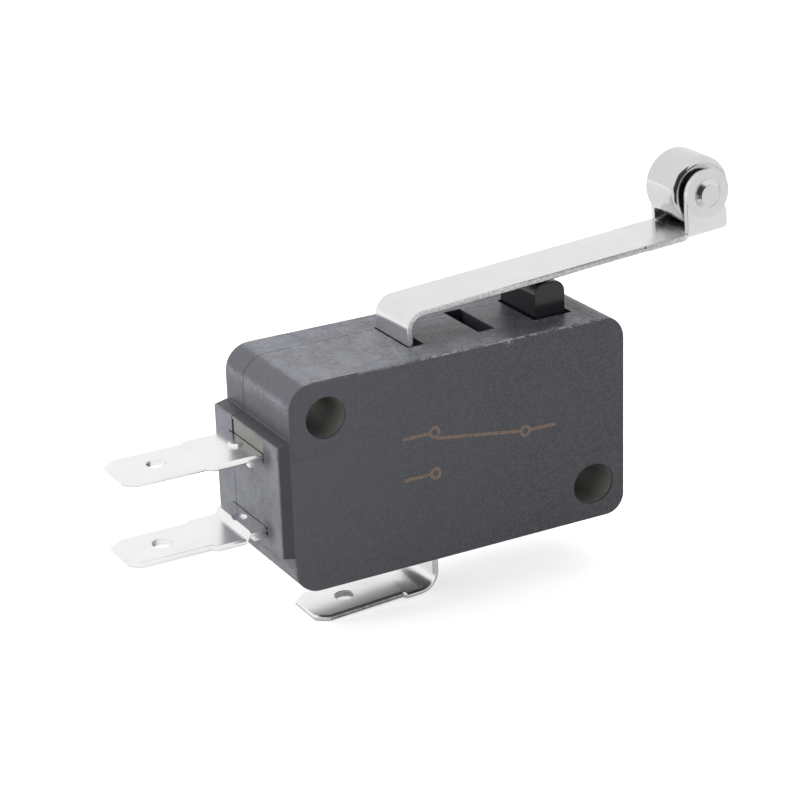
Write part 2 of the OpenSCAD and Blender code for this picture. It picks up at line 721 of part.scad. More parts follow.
module roller_pin() color("#dcdddf") {
    half = lever_w / 2 + ear_step + 0.01;
    on_arm() translate([arm_l, 0, axis_h]) rotate([90, 0, 0]) rotate_extrude() polygon([
        [0, -half - pin_head_h], [pin_head_r * 0.6, -half - pin_head_h * 0.85],
        [pin_head_r, -half - pin_head_h * 0.3], [pin_head_r, -half], [pin_r, -half],
        [pin_r, half], [pin_head_r, half], [pin_head_r, half + pin_head_h * 0.3],
        [pin_head_r * 0.6, half + pin_head_h * 0.85], [0, half + pin_head_h]]);
}

module roller() color("#b4b7ba") {
    half = roller_w / 2;
    bore = pin_r + run_gap;
    on_arm() translate([arm_l, 0, axis_h]) rotate([90, 0, 0]) rotate_extrude()
        polygon(concat([[bore, half], [bore, -half]],
            [for (k = [0:4]) [roller_r - rim_r, rim_r - half] + rim_r * along(-90 + 90 * k / 4)],
            [for (k = [0:4]) [roller_r - rim_r, half - rim_r] + rim_r * along(90 * k / 4)]));
}

front_case();
rear_cover();
nc_terminal();
no_terminal();
com_terminal();
nc_contact();
no_contact();
moving_contact();
contact_lever();
drive_lever();
tension_spring();
plunger();
actuator_lever();
roller_pin();
roller();
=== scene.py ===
"""Lever micro switch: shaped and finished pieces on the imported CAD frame.

Shapes are worked in millimetres with Blender's own modelling operators and are brought to
metres when they leave the bench. X runs from the contact end to the plunger end, Y to the
back and Z to the lever; the origin is on the axis of the round mounting hole.
"""
import json
import logging
import math
from contextlib import contextmanager
from dataclasses import dataclass, field
from enum import Enum
from typing import Callable, Iterator, Sequence

import bmesh
import bpy
from mathutils import Matrix, Vector

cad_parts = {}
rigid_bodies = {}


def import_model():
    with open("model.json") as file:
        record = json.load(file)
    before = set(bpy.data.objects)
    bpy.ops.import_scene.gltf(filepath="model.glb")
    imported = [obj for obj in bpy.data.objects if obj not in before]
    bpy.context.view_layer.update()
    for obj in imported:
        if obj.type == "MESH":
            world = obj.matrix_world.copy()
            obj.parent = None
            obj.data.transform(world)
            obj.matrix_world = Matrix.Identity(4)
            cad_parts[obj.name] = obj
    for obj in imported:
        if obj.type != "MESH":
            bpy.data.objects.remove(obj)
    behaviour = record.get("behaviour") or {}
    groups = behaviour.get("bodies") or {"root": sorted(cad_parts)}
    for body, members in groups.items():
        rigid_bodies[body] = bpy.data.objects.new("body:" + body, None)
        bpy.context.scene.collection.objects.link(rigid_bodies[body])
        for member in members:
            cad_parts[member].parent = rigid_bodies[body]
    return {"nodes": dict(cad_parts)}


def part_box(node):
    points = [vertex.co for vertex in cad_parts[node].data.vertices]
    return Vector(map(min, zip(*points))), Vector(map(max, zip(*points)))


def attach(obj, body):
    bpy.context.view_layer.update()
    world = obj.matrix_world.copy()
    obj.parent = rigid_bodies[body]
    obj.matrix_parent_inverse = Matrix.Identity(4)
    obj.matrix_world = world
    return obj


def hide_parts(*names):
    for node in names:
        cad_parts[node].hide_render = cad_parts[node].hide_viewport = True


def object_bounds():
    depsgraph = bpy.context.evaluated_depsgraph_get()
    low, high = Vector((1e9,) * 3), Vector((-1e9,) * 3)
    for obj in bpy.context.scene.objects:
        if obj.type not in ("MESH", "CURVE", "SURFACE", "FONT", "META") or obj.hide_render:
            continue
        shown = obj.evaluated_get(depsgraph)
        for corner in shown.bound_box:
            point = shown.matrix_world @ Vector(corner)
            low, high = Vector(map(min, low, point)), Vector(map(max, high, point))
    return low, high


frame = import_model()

CAD_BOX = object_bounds()
MM = 0.001
NEAR = 0.004  # how close, in mm, a face or an edge has to be to the place asked for
ALONG, SQUARE = 0.9, 0.1  # share of a direction that counts as along or square to an axis
SHARP, SMOOTH = math.radians(38), math.radians(36)
STEP = 0.02  # length in mm over which a strip changes its width at once
HAIR = 0.001  # what a rounding leaves of a half width in mm, so that two don't meet
OVER = 1.0  # how far in mm a tool reaches past what it cuts or joins
log = logging.getLogger("micro_switch")

Test = Callable[[Vector, Vector], bool]
Colour = tuple[float, float, float, float]
Pair = tuple[float, float]
Span = tuple[float, float, float]
Socket = bpy.types.NodeSocket
WHITE: Colour = (1.0, 1.0, 1.0, 1.0)


def rim_at(level: float) -> Test:
    """A test for the edges that lie in the plane where Y is level."""
    return lambda m, w: abs(m.y - level) < NEAR and abs(w.y) < SQUARE


def tone(red: int, green: int, blue: int) -> Colour:
    """A colour given as it looks on a screen, 0 to 255, in the shader's linear numbers.

    Args:
        red: Red share.
        green: Green share.
        blue: Blue share.

    Returns:
        Linear red, green and blue, and an alpha of 1.
    """
    def linear(share: float) -> float:
        """One linear channel from its screen value."""
        return share / 12.92 if share <= 0.04045 else ((share + 0.055) / 1.055) ** 2.4
    return (linear(red / 255), linear(green / 255), linear(blue / 255), 1.0)


class Axis(Enum):
    """The axis that a round tool or piece lies along, with the turn that lays it so."""
    X = (0.0, math.pi / 2, 0.0)
    Y = (math.pi / 2, 0.0, 0.0)
    Z = (0.0, 0.0, 0.0)


class Element(Enum):
    """What a selection on the bench is made of."""
    FACE = "FACE"
    EDGE = "EDGE"


class Body(Enum):
    """The CAD bodies that pieces ride on."""
    CASE = "root"
    LEVER = "lever"
    WHEEL = "roller_wheel"
    BUTTON = "button"


class Workpiece:
    """One mesh on the bench, in millimetres, shaped with Blender's own operators."""

    def __init__(self, obj: bpy.types.Object) -> None:
        """Takes the object that the last primitive operator made."""
        self.obj = obj
        self.apply()

    @classmethod
    def block(cls, low: Span, high: Span) -> "Workpiece":
        """A box between two corners.

        Args:
            low: Lowest corner.
            high: Highest corner.

        Returns:
            The new workpiece.
        """
        a, b = Vector(low), Vector(high)
        bpy.ops.mesh.primitive_cube_add(size=1, location=(a + b) / 2, scale=b - a)
        return cls(bpy.context.object)

    @classmethod
    def rod(cls, radius: float, start: Span, length: float, axis: Axis,
            sides: int = 64) -> "Workpiece":
        """A round rod that starts at a point and runs along an axis.

        Args:
            radius: Radius of the rod.
            start: Middle of its first end.
            length: How far it runs in the axis's positive direction.
            axis: The axis it lies along.
            sides: Number of sides.

        Returns:
            The new workpiece.
        """
        way = Vector([float(axis is a) for a in Axis])
        bpy.ops.mesh.primitive_cylinder_add(
            vertices=sides, radius=radius, depth=length, rotation=axis.value,
            location=Vector(start) + way * length / 2)
        return cls(bpy.context.object)

    @classmethod
    def ball(cls, radius: float, middle: Span) -> "Workpiece":
        """A round ball, used as a tool for shallow dishes."""
        bpy.ops.mesh.primitive_uv_sphere_add(segments=64, ring_count=48, radius=radius,
                                             location=middle)
        return cls(bpy.context.object)

    def activate(self) -> None:
        """Makes this the only selected object and the active one."""
        bpy.ops.object.select_all(action="DESELECT")
        self.obj.select_set(True)
        bpy.context.view_layer.objects.active = self.obj

    def apply(self) -> None:
        """Applies the object's place, turn and scale to its mesh."""
        self.activate()
        bpy.ops.object.transform_apply(location=True, rotation=True, scale=True)

    @contextmanager
    def editing(self) -> Iterator[None]:
        """Edit mode with nothing selected, left again at the end.

        Returns:
            A context; the mesh is in edit mode inside it.
        """
        self.activate()
        bpy.ops.object.mode_set(mode="EDIT")
        bpy.ops.mesh.select_all(action="DESELECT")
        yield
        bpy.ops.object.mode_set(mode="OBJECT")

    def pick(self, element: Element, test: Test) -> None:
        """Selects the faces or edges that pass a test, in edit mode.

        Args:
            element: Faces or edges.
            test: Takes a face's middle and normal, or an edge's middle and direction.
        """
        bpy.ops.mesh.select_mode(type=element.value)
        bpy.ops.mesh.select_all(action="DESELECT")
        mesh = bmesh.from_edit_mesh(self.obj.data)
        found = 0
        for part in mesh.faces if element is Element.FACE else mesh.edges:
            if element is Element.FACE:
                middle, way = part.calc_center_median(), part.normal
            else:
                a, b = (vertex.co for vertex in part.verts)
                middle, way = (a + b) / 2, (b - a).normalized()
            if test(middle, way):
                part.select_set(True)
                found += 1
        bmesh.update_edit_mesh(self.obj.data)
        if not found:
            raise ValueError(f"nothing to pick on {self.obj.name}")

    def round_edges(self, test: Test, width: float, segments: int = 6) -> "Workpiece":
        """Rounds the edges that pass a test with a bevel.

        Args:
            test: Takes an edge's middle and direction.
            width: How far the bevel reaches along each face.
            segments: Steps of the rounding.

        Returns:
            This workpiece.
        """
        with self.editing():
            self.pick(Element.EDGE, test)
            bpy.ops.mesh.bevel(offset=width, offset_type="OFFSET", segments=segments,
                               profile=0.5, affect="EDGES")
        return self

    @staticmethod
    def extrude(move: Span) -> None:
        """Extrudes the faces selected in edit mode by a move."""
        bpy.ops.mesh.extrude_region_move(TRANSFORM_OT_translate={"value": move})

    def modify(self, kind: str, **settings: object) -> None:
        """Adds a modifier with these settings and applies it.

        Args:
            kind: Blender's name of the modifier.
            settings: Its properties.
        """
        self.activate()
        bpy.ops.object.modifier_add(type=kind)
        modifier = self.obj.modifiers[-1]
        for name, value in settings.items():
            setattr(modifier, name, value)
        bpy.ops.object.modifier_apply(modifier=modifier.name)

    def _combine(self, tool: "Workpiece", operation: str) -> "Workpiece":
        """Applies one boolean with a tool, which is used up.

        Args:
            tool: The other shape.
            operation: DIFFERENCE or UNION.

        Returns:
            This workpiece.
        """
        self.modify("BOOLEAN", operation=operation, object=tool.obj, solver="EXACT")
        mesh = tool.obj.data
        bpy.data.objects.remove(tool.obj)
        bpy.data.meshes.remove(mesh)
        return self

    def cut(self, *tools: "Workpiece") -> "Workpiece":
        """Takes each tool's shape away and returns the workpiece."""
        for tool in tools:
            self._combine(tool, "DIFFERENCE")
        return self

    def weld(self, *others: "Workpiece") -> "Workpiece":
        """Joins other shapes into this one and returns the workpiece."""
        for other in others:
            self._combine(other, "UNION")
        return self

    def place(self, corner: Span, tilt: float) -> "Workpiece":
        """Tilts the shape up about Y by an angle in degrees and moves it to a point.

        Args:
            corner: Where the origin of the shape goes.
            tilt: Angle in degrees.

        Returns:
            This workpiece.
        """
        self.obj.location = corner
        self.obj.rotation_euler = (0.0, -math.radians(tilt), 0.0)
        self.apply()
        return self

    def tidy(self) -> None:
        """Merges doubled points and turns every face outwards."""
        with self.editing():
            bpy.ops.mesh.select_all(action="SELECT")
            bpy.ops.mesh.remove_doubles(threshold=1e-4)
            bpy.ops.mesh.dissolve_degenerate(threshold=1e-4)
            bpy.ops.mesh.normals_make_consistent(inside=False)

    def soften(self, width: float, spare: Test | None) -> None:
        """Rounds every sharp edge a little.

        Args:
            width: How far the rounding reaches along each face.
            spare: Takes an edge's middle and direction; edges that pass stay sharp.
        """
        with self.editing():
            bpy.ops.mesh.select_mode(type="EDGE")
            bpy.ops.mesh.edges_select_sharp(sharpness=SHARP)
            mesh = bmesh.from_edit_mesh(self.obj.data)
            for edge in mesh.edges:
                a, b = (vertex.co for vertex in edge.verts)
                if edge.select and spare and spare((a + b) / 2, (b - a).normalized()):
                    edge.select_set(False)
            bmesh.update_edit_mesh(self.obj.data)
            bpy.ops.mesh.bevel(offset=width, offset_type="OFFSET", segments=2, profile=0.5,
                               affect="EDGES", miter_outer="ARC")

    def release(self, name: str, body: Body, slot: str, finish: bpy.types.Material,
                stands_for: Sequence[str] = (), soft: float = 0.03,
                spare: Test | None = None) -> bpy.types.Object:
        """Softens the sharp edges, brings the piece to metres and hands it to the frame.

        Args:
            name: Name of the piece.
            body: CAD body that it rides on.
            slot: Material slot of the record; not used.
            finish: Its material.
            stands_for: CAD nodes that it replaces.
            soft: Width of the small rounding on all edges left sharp.
            spare: Takes an edge's middle and direction; edges that pass stay sharp.

        Returns:
            The finished object.
        """
        self.tidy()
        if soft:
            self.soften(soft, spare)
        self.activate()
        bpy.ops.object.shade_smooth_by_angle(angle=SMOOTH)
        self.modify("WEIGHTED_NORMAL", mode="FACE_AREA", weight=50, keep_sharp=True)
        self.obj.scale = (MM, MM, MM)
        self.apply()
        self.obj.name = self.obj.data.name = name
        self.obj.data.materials.clear()
        self.obj.data.materials.append(finish)
        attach(self.obj, body.value)
        if stands_for:
            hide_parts(*stands_for)
        log.info("%s: %d faces on %s", name, len(self.obj.data.polygons), body.value)
        return self.obj


class Strip(Workpiece):
    """Sheet metal laid out in the XZ plane by straight runs, steps and folds.

    The strip grows from one end face. Its middle line is followed by a point and a heading,
    where 0 degrees is +X and 90 degrees is +Z.
    """

    @classmethod
    def begin(cls, length: float, width: float, thick: float) -> "Strip":
        """A flat first length from the origin, centred on the X axis.

        Args:
            length: Length along +X, where the strip grows on.
            width: Width across Y.
            thick: Thickness.

        Returns:
            The new strip.
        """
        made = cls.block((0, -width / 2, -thick / 2), (length, width / 2, thick / 2))
        made.width = width
        made.grow_from((length, 0.0), 0.0)
        return made

    def grow_from(self, point: Pair, heading: float) -> None:
        """Sets the end that grows, by its middle in X and Z and its heading."""
        self.point = Vector(point)
        self.heading = heading

    @staticmethod
    def _way(angle: float) -> Vector:
        """Direction in X and Z of an angle in degrees."""
        return Vector((math.cos(math.radians(angle)), math.sin(math.radians(angle))))

    def _pick_end(self) -> None:
        """Selects the growing end face."""
        way = self._way(self.heading)
        self.pick(Element.FACE, lambda m, n: abs(m.x - self.point.x) < NEAR
                  and abs(m.z - self.point.y) < NEAR and abs(m.y) < NEAR
                  and abs(n.x * way.x + n.z * way.y) > 0.7)

    def stretch(self, width: float) -> "Strip":
        """Widens or narrows the growing end face to a width.

        Args:
            width: The new width.

        Returns:
            This strip.
        """
        with self.editing():
            self._pick_end()
            bpy.ops.transform.resize(value=(1, width / self.width, 1))
        self.width = width
        return self

    def run(self, length: float, width: float | None = None, rise: float = 0.0) -> "Strip":
        """Grows straight on, where asked to a new width, or sideways by a rise.

        Args:
            length: How far along the heading.
            width: Width at the new end, or None to keep it.
            rise: Shift to the left of the heading, with the end face kept square.

        Returns:
            This strip.
        """
        move = self._way(self.heading) * length + self._way(self.heading + 90) * rise
        with self.editing():
            self._pick_end()
            self.extrude((move.x, 0, move.y))
        self.point += move
        return self.stretch(width) if width else self

    def fold(self, turn: float, radius: float, steps: int = 12) -> "Strip":
        """Bends the strip, to the left of its heading where the turn is positive.

        Args:
            turn: Angle of the bend in degrees.
            radius: Radius of its middle line.
            steps: Number of steps.

        Returns:
            This strip.
        """
        side = math.copysign(1, turn)
        centre = self.point + self._way(self.heading + 90) * radius * side
        with self.editing():
            self._pick_end()
            bpy.ops.mesh.spin(steps=steps, angle=math.radians(turn), axis=(0, 1, 0),
                              center=(centre.x, 0, centre.y))
        self.heading += turn
        self.point = centre - self._way(self.heading + 90) * radius * side
        return self


class Graph:
    """Adds and wires nodes in one node tree."""

    def __init__(self, tree: bpy.types.NodeTree) -> None:
        """Works in the given tree."""
        self.tree = tree

    @classmethod
    def on(cls, owner: bpy.types.Material | bpy.types.World) -> "Graph":
        """An empty graph in a material's or a world's own tree.

        Args:
            owner: The material or the world.

        Returns:
            The graph.
        """
        owner.use_nodes = True
        owner.node_tree.nodes.clear()
        return cls(owner.node_tree)

    def node(self, kind: str, wires: dict[str | int, object] | None = None,
             **choices: object) -> bpy.types.Node:
        """One node with its choices set and its inputs wired or given numbers.

        Args:
            kind: Blender's name of the node.
            wires: Input name or number to a socket to wire from, or a value.
            choices: Properties of the node.

        Returns:
            The new node.
        """
        made = self.tree.nodes.new(kind)
        for name, value in choices.items():
            setattr(made, name, value)
        for key, value in (wires or {}).items():
            if isinstance(value, Socket):
                self.tree.links.new(value, made.inputs[key])
            else:
                made.inputs[key].default_value = value
        return made

    def math(self, operation: str, a: object, b: object = 0.0) -> Socket:
        """The result of a math node."""
        return self.node("ShaderNodeMath", {0: a, 1: b}, operation=operation).outputs[0]

    def times(self, a: object, b: object) -> Socket:
        """The product of two values."""
        return self.math("MULTIPLY", a, b)

    def plus(self, a: object, b: object) -> Socket:
        """The sum of two values."""
        return self.math("ADD", a, b)

    def most(self, a: object, b: object) -> Socket:
        """The larger of two values."""
        return self.math("MAXIMUM", a, b)

    def off(self, value: object, middle: float) -> Socket:
        """How far a value is from a middle, on either side."""
        return self.math("ABSOLUTE", self.math("SUBTRACT", value, middle))

    def ramp(self, value: object, low: float, high: float, to_low: float = 0.0,
             to_high: float = 1.0) -> Socket:
        """A value taken from one range to another and held there."""
        return self.node("ShaderNodeMapRange", {
            "Value": value, "From Min": low, "From Max": high,
            "To Min": to_low, "To Max": to_high}).outputs[0]

    def blend(self, share: object, a: object, b: object) -> Socket:
        """A colour mixed from a to b by a share."""
        return self.node("ShaderNodeMix", {0: share, 6: a, 7: b},
                         data_type="RGBA").outputs[2]

    def noise(self, where: object, scale: object, detail: float = 3.0,
              rough: float = 0.5) -> Socket:
        """The value of a noise texture."""
        return self.node("ShaderNodeTexNoise", {
            "Vector": where, "Scale": scale, "Detail": detail,
            "Roughness": rough}).outputs[0]


class Effects:
    """The shader groups that the finishes share, each built once."""

    def __init__(self) -> None:
        """Builds the groups."""
        self.grain = self._grain()
        self.patches = self._patches()
        self.worn = self._worn()
        self.specks = self._specks()
        self.lines = self._lines()
        self.arris = self._arris()

    @staticmethod
    def _group(name: str, numbers: dict[str, float],
               outputs: Sequence[str]) -> tuple[Graph, bpy.types.Node, bpy.types.Node]:
        """An empty group with a Vector input, number inputs and value outputs.

        Args:
            name: Name of the group.
            numbers: Number inputs and their defaults.
            outputs: Names of the outputs.

        Returns:
            The graph, its input node and its output node.
        """
        tree = bpy.data.node_groups.new(name, "ShaderNodeTree")
        tree.interface.new_socket(name="Vector", in_out="INPUT",
                                  socket_type="NodeSocketVector")
        for label, value in numbers.items():
            socket = tree.interface.new_socket(name=label, in_out="INPUT",
                                               socket_type="NodeSocketFloat")
            socket.default_value = value
        for label in outputs:
            tree.interface.new_socket(name=label, in_out="OUTPUT",
                                      socket_type="NodeSocketFloat")
        graph = Graph(tree)
        return graph, graph.node("NodeGroupInput"), graph.node("NodeGroupOutput")

    def _grain(self) -> bpy.types.NodeTree:
        """Fine moulded texture: small bumps with shallow pits between them.

        Returns:
            The group.
        """
        g, given, result = self._group("fine_grain", {"Scale": 8.0}, ("Height",))
        where, scale = given.outputs["Vector"], given.outputs["Scale"]
        bumps = g.noise(where, scale, 4.0, 0.65)
        pits = g.node("ShaderNodeTexVoronoi", {
            "Vector": where, "Scale": g.times(scale, 1.7)}).outputs["Distance"]
        total = g.plus(bumps, g.times(pits, 0.4))
        g.tree.links.new(total, result.inputs["Height"])
        return g.tree

    def _patches(self) -> bpy.types.NodeTree:
        """Soft uneven patches, as of handling and flow marks.

        Returns:
            The group.
        """
        g, given, result = self._group("soft_patches", {"Scale": 0.3, "Hardness": 0.2},
                                       ("Mask",))
        where, scale = given.outputs["Vector"], given.outputs["Scale"]
        wide = g.noise(where, scale, 2.0, 0.5)
        small = g.noise(where, g.times(scale, 5.3), 4.0, 0.6)
        both = g.plus(g.times(wide, 0.7), g.times(small, 0.3))
        half = g.math("SUBTRACT", 0.5, given.outputs["Hardness"])
        low = g.plus(0.5, g.times(half, -0.5))
        high = g.plus(0.5, g.times(half, 0.5))
        g.tree.links.new(g.ramp(both, low, high), result.inputs["Mask"])
        return g.tree

    def _worn(self) -> bpy.types.NodeTree:
        """Edges rubbed bright: strong at convex edges and broken up along them.

        Returns:
            The group.
        """
        g, given, result = self._group("worn_edges", {"Reach": 0.0002, "Breakup": 1.2},
                                       ("Mask",))
        where = given.outputs["Vector"]
        bevel = g.node("ShaderNodeBevel", {"Radius": given.outputs["Reach"]}, samples=4)
        flat = g.node("ShaderNodeNewGeometry").outputs["Normal"]
        facing = g.node("ShaderNodeVectorMath", {0: bevel.outputs[0], 1: flat},
                        operation="DOT_PRODUCT").outputs["Value"]
        edge = g.ramp(facing, 0.985, 0.86)
        broken = g.ramp(g.noise(where, given.outputs["Breakup"], 5.0, 0.7), 0.48, 0.68)
        g.tree.links.new(g.times(edge, broken), result.inputs["Mask"])
        return g.tree

    def _specks(self) -> bpy.types.NodeTree:
        """Sparse small specks of dust.

        Returns:
            The group.
        """
        g, given, result = self._group("specks", {"Scale": 2.0, "Share": 0.2}, ("Mask",))
        cells = g.node("ShaderNodeTexVoronoi", {
            "Vector": given.outputs["Vector"], "Scale": given.outputs["Scale"]})
        dot = g.ramp(cells.outputs["Distance"], 0.13, 0.06)
        pick = g.node("ShaderNodeSeparateColor", {0: cells.outputs["Color"]}).outputs[0]
        chosen = g.math("LESS_THAN", pick, given.outputs["Share"])
        g.tree.links.new(g.times(dot, chosen), result.inputs["Mask"])
        return g.tree

    def _lines(self) -> bpy.types.NodeTree:
        """Long fine lines left by rolling; the vector comes in already drawn out.

        Returns:
            The group.
        """
        g, given, result = self._group("rolled_lines", {"Scale": 6.0}, ("Height",))
        where, scale = given.outputs["Vector"], given.outputs["Scale"]
        coarse = g.noise(where, scale, 2.0, 0.5)
        fine = g.noise(where, g.times(scale, 4.1), 3.0, 0.6)
        total = g.plus(g.times(coarse, 0.6), g.times(fine, 0.4))
        g.tree.links.new(total, result.inputs["Height"])
        return g.tree

    def _arris(self) -> bpy.types.NodeTree:
        """Ragged flecks along a line that runs in X, at a place in Y and Z.

        Returns:
            The group.
        """
        g, given, result = self._group(
            "arris_flecks", {"Y": 0.0, "Z": 0.0, "Reach": 0.2, "Scale": 2.0, "Cover": 0.5},
            ("Mask",))
        where, reach = given.outputs["Vector"], given.outputs["Reach"]
        line = g.node("ShaderNodeCombineXYZ", {1: given.outputs["Y"],
                                               2: given.outputs["Z"]}).outputs[0]
        across = g.node("ShaderNodeVectorMath", {0: where, 1: (0.0, 1.0, 1.0)},
                        operation="MULTIPLY").outputs[0]
        away = g.node("ShaderNodeVectorMath", {0: across, 1: line},
                      operation="DISTANCE").outputs["Value"]
        near = g.ramp(away, reach, g.times(reach, 0.35))
        flecks = g.noise(where, given.outputs["Scale"], 6.0, 0.72)
        level = g.math("SUBTRACT", 1.0, given.outputs["Cover"])
        chosen = g.ramp(flecks, level, g.plus(level, 0.07))
        g.tree.links.new(g.times(near, chosen), result.inputs["Mask"])
        return g.tree


class Recipe(Graph):
    """A material under way: its tree, its main shader and places in millimetres."""

    def __init__(self, name: str, effects: Effects) -> None:
        """Makes the material and its main shader.

        Args:
            name: Name of the material.
            effects: Shared groups.
        """
        self.material = bpy.data.materials.new(name)
        self.material.use_nodes = True
        super().__init__(self.material.node_tree)
        self.tree.nodes.clear()
        self.effects = effects
        self.shader = self.node("ShaderNodeBsdfPrincipled")
        self.node("ShaderNodeOutputMaterial", {"Surface": self.shader.outputs[0]})
        self.object_place = self.node("ShaderNodeTexCoord").outputs["Object"]
        self.where = self.spread((1.0, 1.0, 1.0))

    def spread(self, scale: Span) -> Socket:
        """Object coordinates in millimetres, drawn out by a scale on each axis."""
        return self.node("ShaderNodeMapping", {
            "Vector": self.object_place,
            "Scale": tuple(s / MM for s in scale)}).outputs[0]

    def effect(self, group: bpy.types.NodeTree, where: object,
               **numbers: float) -> Socket:
        """The output of a shared group with its own values."""
        return self.node("ShaderNodeGroup", {"Vector": where, **numbers},
                         node_tree=group).outputs[0]

    def away(self, where: object, spot: Span) -> Socket:
        """The distance from a spot, in millimetres."""
        return self.node("ShaderNodeVectorMath", {0: where, 1: spot},
                         operation="DISTANCE").outputs["Value"]

    def bump(self, height: object, depth: float, before: object = None) -> Socket:
        """A normal bumped by a height of a depth in millimetres.

        Args:
            height: The pattern.
            depth: How deep it is, in millimetres.
            before: A normal that is bumped already.

        Returns:
            The new normal.
        """
        wires = {"Height": height, "Distance": depth * MM, "Strength": 1.0}
        if before is not None:
            wires["Normal"] = before
        return self.node("ShaderNodeBump", wires).outputs[0]

    def feed(self, **wires: object) -> bpy.types.Material:
        """Sets the main shader's inputs, with _ for a space.

        Args:
            wires: Sockets or values by the inputs' names.

        Returns:
            The material.
        """
        for label, value in wires.items():
            socket = self.shader.inputs[label.replace("_", " ")]
            if isinstance(value, Socket):
                self.tree.links.new(value, socket)
            else:
                socket.default_value = value
        return self.material


